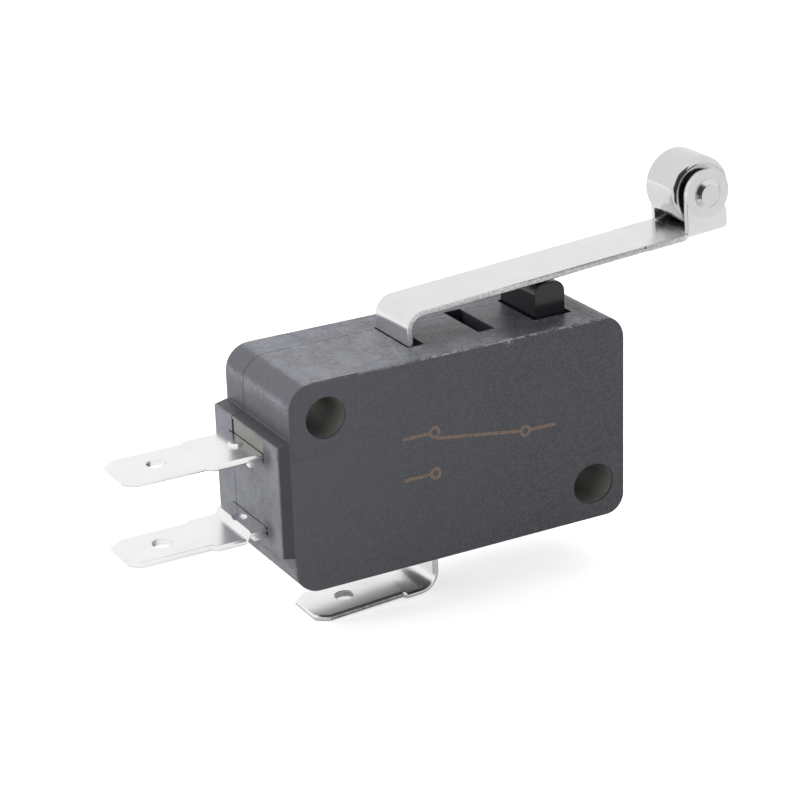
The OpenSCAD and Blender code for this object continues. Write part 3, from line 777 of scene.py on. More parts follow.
@dataclass(frozen=True)
class HandledPlastic:
    """Grained plastic of the case: a greasy film on top and end that is also painted sheen,
    flecked arrises, dust.

    Places are in millimetres. A pair says where a mask starts and where it is full.
    """
    name: str
    colour: Colour
    # Paler tone for random patches and grain, also used for painted light towards the
    # contact end.
    pale: Colour
    # Paler colour of the greasy film, which also serves as painted sheen on the top and the
    # end.
    film_and_sheen: Colour
    fleck: Colour
    # Dark colour for painted shade and painted shadows on the block, and for the dark joint
    # line.
    shade: Colour
    # Colour of the bare recess band, also used as painted light on the bore walls.
    bare_and_bore_light: Colour
    roughness: Pair = (0.31, 0.43)
    grain: float = 0.011
    relief: float = 0.03
    dust: float = 0.1
    top: float = 2.8
    # painted light: the film and sheen on the top grow towards the contact end over this
    # span of X
    top_fade: Pair = (17.0, 1.0)
    end: float = -2.9
    skin: Pair = (0.16, 0.04)
    # painted shade: where the film and sheen stay full on the end; near the block they thin
    # out
    full_sheen: Pair = (-0.6, -0.7)
    level: float = -5.0
    around: Pair = (5.3, 7.0)
    slope: float = -0.525
    slope_half: Pair = (0.42, 0.48)
    recess: float = -0.96
    recess_half: Pair = (0.02, 0.01)
    # painted light: the case turns paler towards the contact end over this span of X
    painted_light_fade: Pair = (22.0, 0.0)
    arris: Pair = (-5.12, 2.77)
    arris_fade: Pair = (5.0, 9.0)
    joint: float = 2.2
    joint_half: Pair = (0.065, 0.04)
    joint_end: Pair = (22.5, 22.4)
    scuff: Span = (14.9, -5.12, 2.75)
    scuff_reach: Pair = (0.55, 0.2)
    # painted light: the walls of these bores, past their mouths, take the paler bare colour
    bores: tuple[Pair, ...] = ((0.0, 0.0), (22.2, -10.3))
    bore_rim: Pair = (1.76, 1.72)
    bore_mouth: Pair = (-4.95, -4.8)
    # painted shadows of the two terminals on the block face, beside their roots
    tab_shadows: tuple[Span, ...] = ((-3.95, -3.35, -2.7), (-3.95, -3.2, -8.4))
    tab_shadows_reach: Pair = (1.2, 0.4)

    def film_and_sheen_mask(self, r: Recipe, x: Socket, z: Socket, off_slope: Socket) -> Socket:
        """Where the film and painted sheen lie: on top, growing towards the contact end,
        and on the contact end, thinner near the block as painted shade.

        Args:
            r: The material under way.
            x: Place in X.
            z: Place in Z.
            off_slope: Distance in X from the middle of the block's sloping top.

        Returns:
            The mask.
        """
        deep, thin = self.skin
        upper = r.ramp(z, self.top - deep, self.top - thin)
        # painted light: on the top the film and sheen grow towards the contact end
        cover = r.times(upper, r.ramp(x, *self.top_fade, 0.0, 0.75))
        outer = r.times(r.ramp(x, self.end + deep, self.end + thin),
                        r.ramp(off_slope, *self.slope_half))
        # painted shade: on the end face the film and sheen thin out near the block, so it
        # is darker there
        full_sheen = r.most(r.ramp(x, *(self.end + v for v in self.full_sheen)),
                         r.ramp(r.off(z, self.level), *self.around))
        cover = r.most(cover, r.times(outer, full_sheen))
        outer = r.times(outer, r.ramp(full_sheen, 0.0, 0.5, 0.15, 1.0))
        smears = r.ramp(r.noise(r.where, 0.55, 3.0, 0.6), 0.4, 0.6)
        scuffs = r.ramp(r.noise(r.where, 2.4, 4.0, 0.7), 0.4, 0.62)
        specks = r.ramp(r.noise(r.where, 6.5, 3.0, 0.7), 0.42, 0.6)
        mix = r.plus(r.times(smears, 0.3),
                     r.plus(r.times(scuffs, 0.25), r.times(specks, 0.45)))
        return r.times(r.most(upper, outer),
                       r.ramp(r.plus(mix, r.times(cover, 0.5)), 0.35, 1.0))

    def fleck_mask(self, r: Recipe, x: Socket, dust: Socket) -> Socket:
        """Bare flecks on the front arris, along the joint and in the scuff, and dust.

        Args:
            r: The material under way.
            x: Place in X.
            dust: Where dust lies.

        Returns:
            The mask.
        """
        y, z = self.arris
        arris = r.effects.arris
        rubbed = r.times(0.6, r.effect(arris, r.where, Y=y, Z=z, Reach=0.12, Scale=1.6,
                                       Cover=0.55))
        chips = r.effect(arris, r.where, Y=y, Z=z, Reach=0.22, Scale=2.6, Cover=0.42)
        rubbed = r.times(r.most(rubbed, chips), r.ramp(x, *self.arris_fade, 0.2, 1.0))
        seam = r.effect(arris, r.where, Y=self.joint, Z=self.top, Reach=0.13, Scale=2.0,
                        Cover=0.47)
        torn = r.times(r.ramp(r.away(r.where, self.scuff), *self.scuff_reach),
                       r.ramp(r.noise(r.where, 5.5, 5.0, 0.75), 0.5, 0.56))
        return r.most(r.most(rubbed, torn), r.times(0.55, r.most(seam, dust)))

    def base(self, r: Recipe, x: Socket, y: Socket, off_slope: Socket,
             film_and_sheen: Socket) -> Socket:
        """The plastic's colour, with film and painted sheen, painted light and shade, the
        recess and the joint.

        Args:
            r: The material under way.
            x: Place in X.
            y: Place in Y.
            off_slope: Distance in X from the middle of the block's sloping top.
            film_and_sheen: Where the film and painted sheen lie.

        Returns:
            The colour.
        """
        patch = r.effect(r.effects.patches, r.where, Scale=0.22, Hardness=0.1)
        fine = r.ramp(r.noise(r.where, 5.5, 4.0, 0.7), 0.38, 0.62)
        narrow, wide = self.slope_half
        # painted light: paler towards the contact end; then random paler grain
        layers = [(r.ramp(x, *self.painted_light_fade, 0.0, 0.6), self.pale),
                  (r.times(fine, 0.85), self.pale), (film_and_sheen, self.film_and_sheen),
                  # painted shade on the block's sloping top and its front side
                  (r.ramp(off_slope, wide, narrow, 0.0, 0.75), self.shade)]
        # painted shadows of the terminals on the block face
        for spot in self.tab_shadows:
            near = r.ramp(r.away(r.where, spot), *self.tab_shadows_reach, 0.0, 0.85)
            layers.append((near, self.shade))
        layers.append((r.ramp(r.off(x, self.end + self.recess), *self.recess_half),
                       self.bare_and_bore_light))
        # painted light on the walls of the bores, past their mouths
        flat = r.spread((1.0, 0.0, 1.0))
        for bore_x, bore_z in self.bores:
            inside = r.ramp(r.away(flat, (bore_x, 0.0, bore_z)), *self.bore_rim)
            layers.append((r.times(inside, r.ramp(y, *self.bore_mouth)), self.bare_and_bore_light))
        line = r.times(r.ramp(r.off(y, self.joint), *self.joint_half),
                       r.ramp(x, *self.joint_end))
        layers.append((r.times(line, 0.75), self.shade))
        base = r.blend(r.times(patch, 0.3), self.colour, self.pale)
        for share, colour in layers:
            base = r.blend(share, base, colour)
        return base

    def make(self, effects: Effects) -> bpy.types.Material:
        """Makes the material of this finish.

        Args:
            effects: The shared shader groups.

        Returns:
            The material.
        """
        r = Recipe(self.name, effects)
        x, y, z = r.node("ShaderNodeSeparateXYZ", {0: r.where}).outputs
        off_slope = r.off(x, self.end + self.slope)
        film_and_sheen = self.film_and_sheen_mask(r, x, z, off_slope)
        dust = r.effect(effects.specks, r.where, Scale=1.1, Share=self.dust)
        flecks = self.fleck_mask(r, x, r.times(dust, film_and_sheen))
        base = r.blend(flecks, self.base(r, x, y, off_slope, film_and_sheen), self.fleck)
        mottle = r.effect(effects.patches, r.where, Scale=1.5, Hardness=0.15)
        rough = r.plus(r.ramp(mottle, 0.0, 1.0, *self.roughness), r.times(flecks, 0.2))
        grain = r.effect(effects.grain, r.where, Scale=9.0)
        waves = r.effect(effects.patches, r.where, Scale=0.12, Hardness=-0.3)
        normal = r.bump(grain, self.grain, r.bump(waves, self.grain * 1.2))
        normal = r.bump(r.plus(flecks, r.times(film_and_sheen, 0.25)), self.relief, normal)
        return r.feed(Base_Color=base, Roughness=rough, Normal=normal, IOR=1.6)


@dataclass(frozen=True)
class GlossPlastic:
    """Polished moulded plastic with a soft bloom and a few specks of dust."""
    name: str
    colour: Colour
    bloom: Colour
    dust: Colour
    roughness: Pair

    def make(self, effects: Effects) -> bpy.types.Material:
        """Makes the material of this finish.

        Args:
            effects: The shared shader groups.

        Returns:
            The material.
        """
        r = Recipe(self.name, effects)
        patch = r.effect(effects.patches, r.where, Scale=0.5, Hardness=0.0)
        specks = r.effect(effects.specks, r.where, Scale=1.6, Share=0.05)
        base = r.blend(r.times(patch, 0.5), self.colour, self.bloom)
        base = r.blend(r.times(specks, 0.4), base, self.dust)
        rough = r.ramp(patch, 0.0, 1.0, *self.roughness)
        fine = r.noise(r.where, 5.0, 2.0, 0.5)
        return r.feed(Base_Color=base, Roughness=rough, Normal=r.bump(fine, 0.0008),
                      IOR=1.5)


@dataclass(frozen=True)
class SheetMetal:
    """Rolled or drawn metal: fine lines along it, soft waves, dull patches, bright edges.

    Attributes:
        drawn_out: Stretch of the rolled lines on each axis.
        sheared_from: Distance in Y from the middle at which the cut edges begin.
        sheared_to: X up to which they show.
        cut_share: Share of the even and of the ragged darkening on them; this is painted
            shade on the common tab, and partly painted shade on the lever.
    """
    name: str
    colour: Colour
    dull: Colour
    bright: Colour
    roughness: Pair
    line_depth: float
    drawn_out: Span = (0.12, 1.0, 1.0)
    wave_depth: float = 0.003
    patch_share: float = 0.4
    wear: float = 0.5
    sheared_from: float = 99.0
    sheared_to: float = 99.0
    # Colour of the cut edges: painted shade on the common tab, partly painted shade on the
    # lever.
    cut: Colour = (0.2, 0.2, 0.2, 1.0)
    cut_share: Pair = (0.06, 0.5)

    def make(self, effects: Effects) -> bpy.types.Material:
        """Makes the material of this finish.

        Args:
            effects: The shared shader groups.

        Returns:
            The material.
        """
        r = Recipe(self.name, effects)
        along = r.spread(self.drawn_out)
        lines = r.effect(effects.lines, along, Scale=7.0)
        patch = r.effect(effects.patches, r.where, Scale=0.35, Hardness=0.1)
        waves = r.effect(effects.patches, r.where, Scale=0.3, Hardness=-0.5)
        edge = r.effect(effects.worn, r.where, Reach=0.00012, Breakup=0.6)
        base = r.blend(r.times(patch, self.patch_share), self.colour, self.dull)
        base = r.blend(r.times(edge, self.wear), base, self.bright)
        place = r.node("ShaderNodeSeparateXYZ", {0: r.where}).outputs
        sheared = r.ramp(r.math("ABSOLUTE", place["Y"]), self.sheared_from,
                         self.sheared_from + 0.01)
        sheared = r.times(sheared,
                         r.ramp(place["X"], self.sheared_to, self.sheared_to - 0.1))
        torn = r.times(sheared, r.ramp(r.noise(r.where, 4.5, 4.0, 0.7), 0.4, 0.65))
        # the cut edges are darkened, partly as torn texture and partly as painted shade
        even, ragged = self.cut_share
        base = r.blend(r.plus(r.times(sheared, even),
                              r.times(torn, ragged)), base, self.cut)
        rough = r.ramp(lines, 0.3, 0.7, *self.roughness)
        rough = r.plus(rough, r.times(patch, 0.04))
        rough = r.plus(rough, r.times(sheared, 0.16))
        normal = r.bump(lines, self.line_depth, r.bump(waves, self.wave_depth))
        normal = r.bump(torn, 0.012, normal)
        return r.feed(Base_Color=base, Roughness=rough, Normal=normal, Metallic=1.0)


@dataclass(frozen=True)
class EtchedMark:
    """Laser-marked plastic: a pale brown, broken up by the grain of the case."""
    name: str
    colour: Colour
    gap: Colour

    def make(self, effects: Effects) -> bpy.types.Material:
        """Makes the material of this finish.

        Args:
            effects: The shared shader groups.

        Returns:
            The material.
        """
        r = Recipe(self.name, effects)
        grain = r.effect(effects.grain, r.where, Scale=14.0)
        broken = r.ramp(r.noise(r.where, 9.0, 4.0, 0.7), 0.34, 0.55)
        base = r.blend(broken, self.gap, self.colour)
        rough = r.ramp(broken, 0.0, 1.0, 0.5, 0.75)
        return r.feed(Base_Color=base, Roughness=rough, Normal=r.bump(grain, 0.006))


class Finishes:
    """Every finish of the switch, made once."""

    def __init__(self) -> None:
        """Makes the shared effects and the materials."""
        effects = Effects()
        # shade carries painted shade and painted shadows on the block and the dark joint
        # line; bare is the recess band's colour and painted light on the bore walls
        fleck, shade, bare_and_bore_light = tone(188, 188, 192), tone(24, 25, 28), tone(122, 122, 118)
        # The third colour of each case finish is the greasy film, which is also painted
        # sheen on the top and end.
        self.case = HandledPlastic("case_plastic", tone(26, 27, 33), tone(75, 76, 84),
                                   tone(114, 116, 124), fleck, shade, bare_and_bore_light).make(effects)
        self.cover = HandledPlastic("cover_plastic", tone(25, 26, 32), tone(73, 75, 83),
                                    tone(113, 115, 124), fleck, shade, bare_and_bore_light).make(effects)
        self.plunger = GlossPlastic("plunger_plastic", tone(24, 25, 28), tone(33, 35, 39),
                                    tone(120, 120, 124), (0.13, 0.2)).make(effects)
        tin = (tone(243, 243, 242), tone(226, 227, 228), tone(250, 250, 250),
               (0.15, 0.21), 0.0004)
        self.tin = SheetMetal("tinned_strip", *tin, wave_depth=0.0016).make(effects)
        # The lever's cut edges are darker and torn: partly real shear texture, partly
        # painted shade.
        self.lever = SheetMetal("lever_steel", tone(228, 228, 228), tone(212, 213, 214),
                                tone(244, 244, 244), (0.17, 0.24), 0.0007,
                                drawn_out=(0.06, 1.0, 0.06), wave_depth=0.0014,
                                sheared_from=2.385, sheared_to=32.2,
                                cut=tone(140, 140, 140)).make(effects)
        # painted shade: the cut edges of the common tab are darker, standing in for a dark
        # reflection
        self.common = SheetMetal("common_strip", *tin, wave_depth=0.0016,
                                 sheared_from=2.36, sheared_to=7.15,
                                 cut=tone(104, 106, 108),
                                 cut_share=(0.6, 0.3)).make(effects)
        self.roller = SheetMetal("roller_steel", tone(214, 214, 213), tone(198, 199, 200),
                                 tone(244, 244, 244), (0.09, 0.14), 0.0005,
                                 drawn_out=(1.0, 0.1, 1.0), wave_depth=0.001).make(effects)
        self.pin = SheetMetal("pin_steel", tone(222, 222, 221), tone(200, 201, 202),
                              tone(244, 244, 244), (0.12, 0.2), 0.0006,
                              drawn_out=(1.0, 1.0, 1.0), wave_depth=0.0014).make(effects)
        self.spring = SheetMetal("spring_steel", tone(168, 170, 173), tone(130, 132, 136),
                                 tone(210, 210, 212), (0.22, 0.34), 0.001).make(effects)
        self.silver = SheetMetal("contact_silver", tone(222, 218, 208), tone(188, 180, 160),
                                 tone(240, 238, 230), (0.2, 0.32), 0.001,
                                 drawn_out=(1.0, 1.0, 1.0)).make(effects)
        self.copper = SheetMetal("copper_alloy", tone(196, 150, 92), tone(160, 112, 66),
                                 tone(226, 190, 140), (0.24, 0.36), 0.001).make(effects)
        self.mark = EtchedMark("etched_mark", tone(140, 118, 104),
                               tone(74, 74, 76)).make(effects)


@dataclass
class Case:
    """The two mouldings, with their pads, block, openings, cavity and locating peg.

    Attributes:
        pitch: X and Z of the second mounting hole.
        peg: X, Z and radius of the locating peg.
        band: Front, lower and upper Z and depth of the bare recess in the block.
        opening: Start, end and half width of the plunger's opening.
        terminal_half: Half width and half height of the terminals' openings.
        lead_in: How far the upper terminal's opening goes in.
        block_z: Bottom and top of the block, over the bottom of the case.
        seat: Gap from the leg, and the far corner, of the common terminal's seat.
        block_sharp: How far in X and in Y the block's end edges stay sharp.
    """
    finishes: Finishes
    corner: float = 1.9
    heel: float = 1.5
    face_bevel: float = 0.2
    back_bevel: float = 0.09
    wall: float = 1.3
    plate: float = 1.0
    lip: float = 0.5
    end_wall: float = 2.44
    hole: float = 1.55
    stretch: float = 0.35
    pitch: Pair = (22.2, -10.3)
    pad: float = 5.69
    lead_in: float = 5.65
    pad_round: float = 3.3
    pad_depth: float = 0.12
    peg: Span = (-0.48, -11.21, 0.85)
    draft: float = 0.24
    mark_proud: float = 0.004
    back: float = 0.02
    pad_wall: float = 0.2
    band: tuple[float, float, float, float] = (-2.8, -2.64, -1.56, 0.09)
    slots: Pair = (8.0, 13.9)
    slot_length: float = 1.4
    slot_half: float = 2.55
    opening: Span = (18.6, 21.85, 2.65)
    terminal_levels: Pair = (-2.92, -8.55)
    terminal_half: Pair = (2.805, 0.28)
    common_at: float = 9.75
    block_length: float = 1.05
    block_z: Pair = (3.0, 11.9)
    pad_clear: float = 0.05
    peg_boss: float = 0.7
    peg_ease: float = 0.015
    peg_sharp: float = 0.1
    block_sharp: Pair = (0.3, 0.35)
    band_round: float = 0.08
    seat: tuple[float, Span] = (1.4, (13.1, 1.7, -11.08))
    low: Vector = field(init=False)
    high: Vector = field(init=False)
    block_x: float = field(init=False)
    parting: float = field(init=False)

    def __post_init__(self) -> None:
        """Reads the outline and the parting plane from the CAD nodes."""
        front_low, front_high = (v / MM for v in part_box("front_case"))
        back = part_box("rear_cover")[1].y / MM
        self.block_x = front_low.x
        self.parting = front_high.y
        self.low = Vector((self.block_x + self.block_length,
                           front_low.y + self.mark_proud, front_low.z))
        self.high = Vector((front_high.x, back, front_high.z))

    def rounded(self, y0: float, y1: float, face: float) -> Workpiece:
        """A block of the case's outline, rounded at its corners and round one face.

        Args:
            y0: Front of the block.
            y1: Back of the block.
            face: The Y of the face whose rim is bevelled.

        Returns:
            The block.
        """
        low, high = self.low, self.high
        shape = Workpiece.block((low.x, y0, low.z), (high.x, y1, high.z))
        for at_heel, radius in ((False, self.corner), (True, self.heel)):
            shape.round_edges(
                lambda m, w: abs(w.y) > ALONG
                and (m.x > high.x - NEAR and m.z < low.z + NEAR) is at_heel, radius, 12)
        return shape.round_edges(rim_at(face),
                                 self.face_bevel if face < 0 else self.back_bevel, 4)

    def corner_pad(self, upper: bool, y0: float, y1: float) -> Workpiece:
        """The pad shape at the upper contact corner or the lower plunger corner.

        Args:
            upper: Which of the two corners.
            y0: Front of the shape.
            y1: Back of the shape.

        Returns:
            The shape.
        """
        if upper:
            free_x, free_z = self.low.x + self.pad, self.high.z - self.pad
            low, high = (self.low.x - OVER, y0, free_z), (free_x, y1, self.high.z + OVER)
        else:
            free_x, free_z = self.high.x - self.pad, self.low.z + self.pad
            low, high = (free_x, y0, self.low.z - OVER), (self.high.x + OVER, y1, free_z)
        return Workpiece.block(low, high).round_edges(
            lambda m, w: abs(w.y) > ALONG and abs(m.x - free_x) < NEAR
            and abs(m.z - free_z) < NEAR, self.pad_round, 12)

    def pad_tool(self, upper: bool) -> Workpiece:
        """Tool that sinks a pad into the front face and leaves a sloping rim.

        Args:
            upper: Which of the two corners.

        Returns:
            The tool.
        """
        floor, y0 = self.low.y + self.pad_depth, self.low.y - OVER
        tool = self.corner_pad(upper, y0, floor)
        tool.round_edges(rim_at(floor), self.pad_wall, 1)
        if upper:
            block_top = self.low.z + self.block_z[1] + self.pad_clear
            tool.cut(Workpiece.block((self.low.x - 2 * OVER, y0 - OVER, self.low.z),
                                     (self.low.x - HAIR, floor + OVER, block_top)))
        return tool

    def hollow(self, y0: float, y1: float) -> Workpiece:
        """The room for the mechanism, clear of the bosses round the holes and the peg.

        Args:
            y0: Front of the room.
            y1: Back of the room.

        Returns:
            The tool.
        """
        low, high, wall = self.low, self.high, self.wall
        room = Workpiece.block((low.x + wall, y0, low.z + wall),
                               (high.x - self.end_wall, y1, high.z - wall))
        room.cut(*(self.corner_pad(upper, y0 - OVER, y1 + OVER) for upper in (True, False)))
        x, z, radius = self.peg
        return room.cut(Workpiece.rod(radius + self.peg_boss, (x, y0 - OVER, z),
                                      y1 - y0 + 2 * OVER, Axis.Y))

    def terminal_block(self, y0: float, y1: float) -> Workpiece:
        """The drafted block at the contact end, between two values of Y.

        Args:
            y0: Front of the block.
            y1: Back of the block.

        Returns:
            The block.
        """
        z0, z1 = (self.low.z + z for z in self.block_z)
        shape = Workpiece.block((self.block_x, y0, z0), (self.low.x, y1, z1))
        share = 1 - 2 * self.draft / (z1 - z0)
        with shape.editing():
            shape.pick(Element.FACE, lambda m, n: n.x < -ALONG)
            bpy.ops.transform.resize(value=(1, 1, share))
            shape.pick(Element.FACE, lambda m, n: n.x > ALONG)
            shape.extrude((self.wall, 0, 0))
        return shape

    def openings(self) -> list[Workpiece]:
        """Tools for everything that passes through the walls of both mouldings.

        Returns:
            The tools.
        """
        y0, length = self.low.y - OVER, self.high.y - self.low.y + 2 * OVER
        px, pz = self.pitch
        half, thin = self.terminal_half
        top, bottom = self.high.z, self.low.z
        tools = [Workpiece.rod(self.hole, (0, y0, 0), length, Axis.Y, 72)]
        obround = Workpiece.block((px - self.stretch / 2, y0, pz - self.hole),
                                  (px + self.stretch / 2, y0 + length, pz + self.hole))
        for side in (-1, 1):
            obround.weld(Workpiece.rod(
                self.hole, (px + side * self.stretch / 2, y0 - OVER / 2, pz),
                length + OVER, Axis.Y, 72))
        tools.append(obround)
        for level, inner in zip(self.terminal_levels, (self.lead_in, self.wall + OVER)):
            tools.append(Workpiece.block((self.block_x - OVER, -half, level - thin),
                                         (self.low.x + inner, half, level + thin)))
        tools.append(Workpiece.block(
            (self.common_at - thin, -half, bottom - OVER),
            (self.common_at + thin, half, bottom + self.wall + OVER)))
        gaps = [(x, x + self.slot_length, self.slot_half) for x in self.slots]
        for x0, x1, wide in (*gaps, self.opening):
            tools.append(Workpiece.block((x0, -wide, top - self.wall - OVER),
                                         (x1, wide, top + OVER)))
        return tools

    def build(self) -> None:
        """Makes both mouldings and hands them to the frame."""
        front, rear = self.low.y, self.high.y
        end_x = self.high.x - self.end_wall
        px, pz, peg = self.peg
        shell = self.rounded(front, self.parting, front)
        shell.cut(self.hollow(front + self.plate, self.parting + OVER))
        shell.cut(Workpiece.block(
            (end_x, front + self.lip, self.low.z - OVER),
            (self.high.x + OVER, self.parting + OVER, self.high.z + OVER)))
        shell.weld(self.terminal_block(front + self.back, self.parting))
        y0, z0, z1, deep = self.band
        shell.cut(Workpiece.block(
            (self.block_x - OVER, y0, z0),
            (self.block_x + deep, self.parting + OVER, z1)).round_edges(
                lambda m, w: abs(w.z) > ALONG and m.y < y0 + NEAR and m.x > self.block_x,
                self.band_round, 4))
        from_leg, far_corner = self.seat
        shell.weld(Workpiece.block((self.common_at + from_leg, front + self.plate / 2,
                                    self.low.z + self.wall / 2), far_corner))
        shell.cut(*self.openings())
        for upper in (True, False):
            shell.cut(self.pad_tool(upper))
        shell.cut(Workpiece.rod(peg + self.peg_ease, (px, front - OVER, pz),
                                rear - front + 2 * OVER, Axis.Y))

        def spared(m: Vector, w: Vector) -> bool:
            """Edges that stay sharp: round the peg, and where the block's sides begin.

            Args:
                m: The edge's middle.
                w: Its direction.

            Returns:
                Whether it stays sharp.
            """
            deep, side = self.block_sharp
            at_block = -0.02 < m.x - self.low.x < deep and abs(m.y) > rear - side
            return at_block or math.hypot(m.x - px, m.z - pz) < peg + self.peg_sharp

        shell.release("case_front", Body.CASE, "case_plastic", self.finishes.case,
                      ("front_case",), 0.035, spared)
        cover = self.rounded(front + self.lip, rear, rear)
        cover.cut(Workpiece.block((self.low.x - OVER, front, self.low.z - OVER),
                                  (end_x, self.parting, self.high.z + OVER)))
        cover.weld(self.terminal_block(self.parting, rear - self.back))
        cover.cut(self.hollow(self.parting - OVER, rear - self.plate))
        cover.cut(*self.openings())
        cover.weld(Workpiece.rod(peg, (px, front, pz), self.parting - front + 0.5, Axis.Y))
        cover.release("case_rear", Body.CASE, "cover_plastic", self.finishes.cover,
                      ("rear_cover",), 0.045, spared)


@dataclass
class ContactSymbol:
    """A plain changeover-contact symbol, laser-marked on the front face."""
    finishes: Finishes
    line: float = 0.25
    ring: float = 0.48
    depth: float = 0.03
    common: Pair = (16.2, -4.6)
    throws: tuple[Pair, Pair] = ((8.6, -3.0), (8.6, -6.2))
    lead: float = 2.6
    overlap: float = 0.03

    def stroke(self, a: Pair, b: Pair) -> Workpiece:
        """One straight line of the symbol between two points in X and Z.

        Args:
            a: Start of the line.
            b: End of the line.

        Returns:
            The line.
        """
        start, end = Vector(a), Vector(b)
        run = end - start
        bar = Workpiece.block((0, self.y0, -self.line / 2),
                              (run.length, self.y0 + self.depth, self.line / 2))
        return bar.place((start.x, 0, start.y), math.degrees(math.atan2(run.y, run.x)))

    def circle(self, middle: Pair) -> Workpiece:
        """One small ring of the symbol.

        Args:
            middle: Its middle in X and Z.

        Returns:
            The ring.
        """
        x, z = middle
        ring = Workpiece.rod(self.ring, (x, self.y0, z), self.depth, Axis.Y, 40)
        return ring.cut(Workpiece.rod(self.ring - self.line, (x, self.y0 - OVER, z),
                                      3 * OVER, Axis.Y, 40))

    def build(self) -> None:
        """Makes the symbol and hands it to the frame."""
        self.y0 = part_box("front_case")[0].y / MM
        cx, cz = self.common
        inside = self.ring - self.overlap
        shape = self.circle(self.common)
        shape.weld(self.stroke((cx + inside, cz), (cx + self.lead, cz)))
        for x, z in self.throws:
            shape.weld(self.circle((x, z)))
            shape.weld(self.stroke((x - self.lead, z), (x - inside, z)))
        x, z = self.throws[0]
        shape.weld(self.stroke((cx - inside, cz + 0.08), (x + 0.1, z - self.ring)))
        shape.release("contact_symbol", Body.CASE, "case_plastic", self.finishes.mark,
                      soft=0.0)


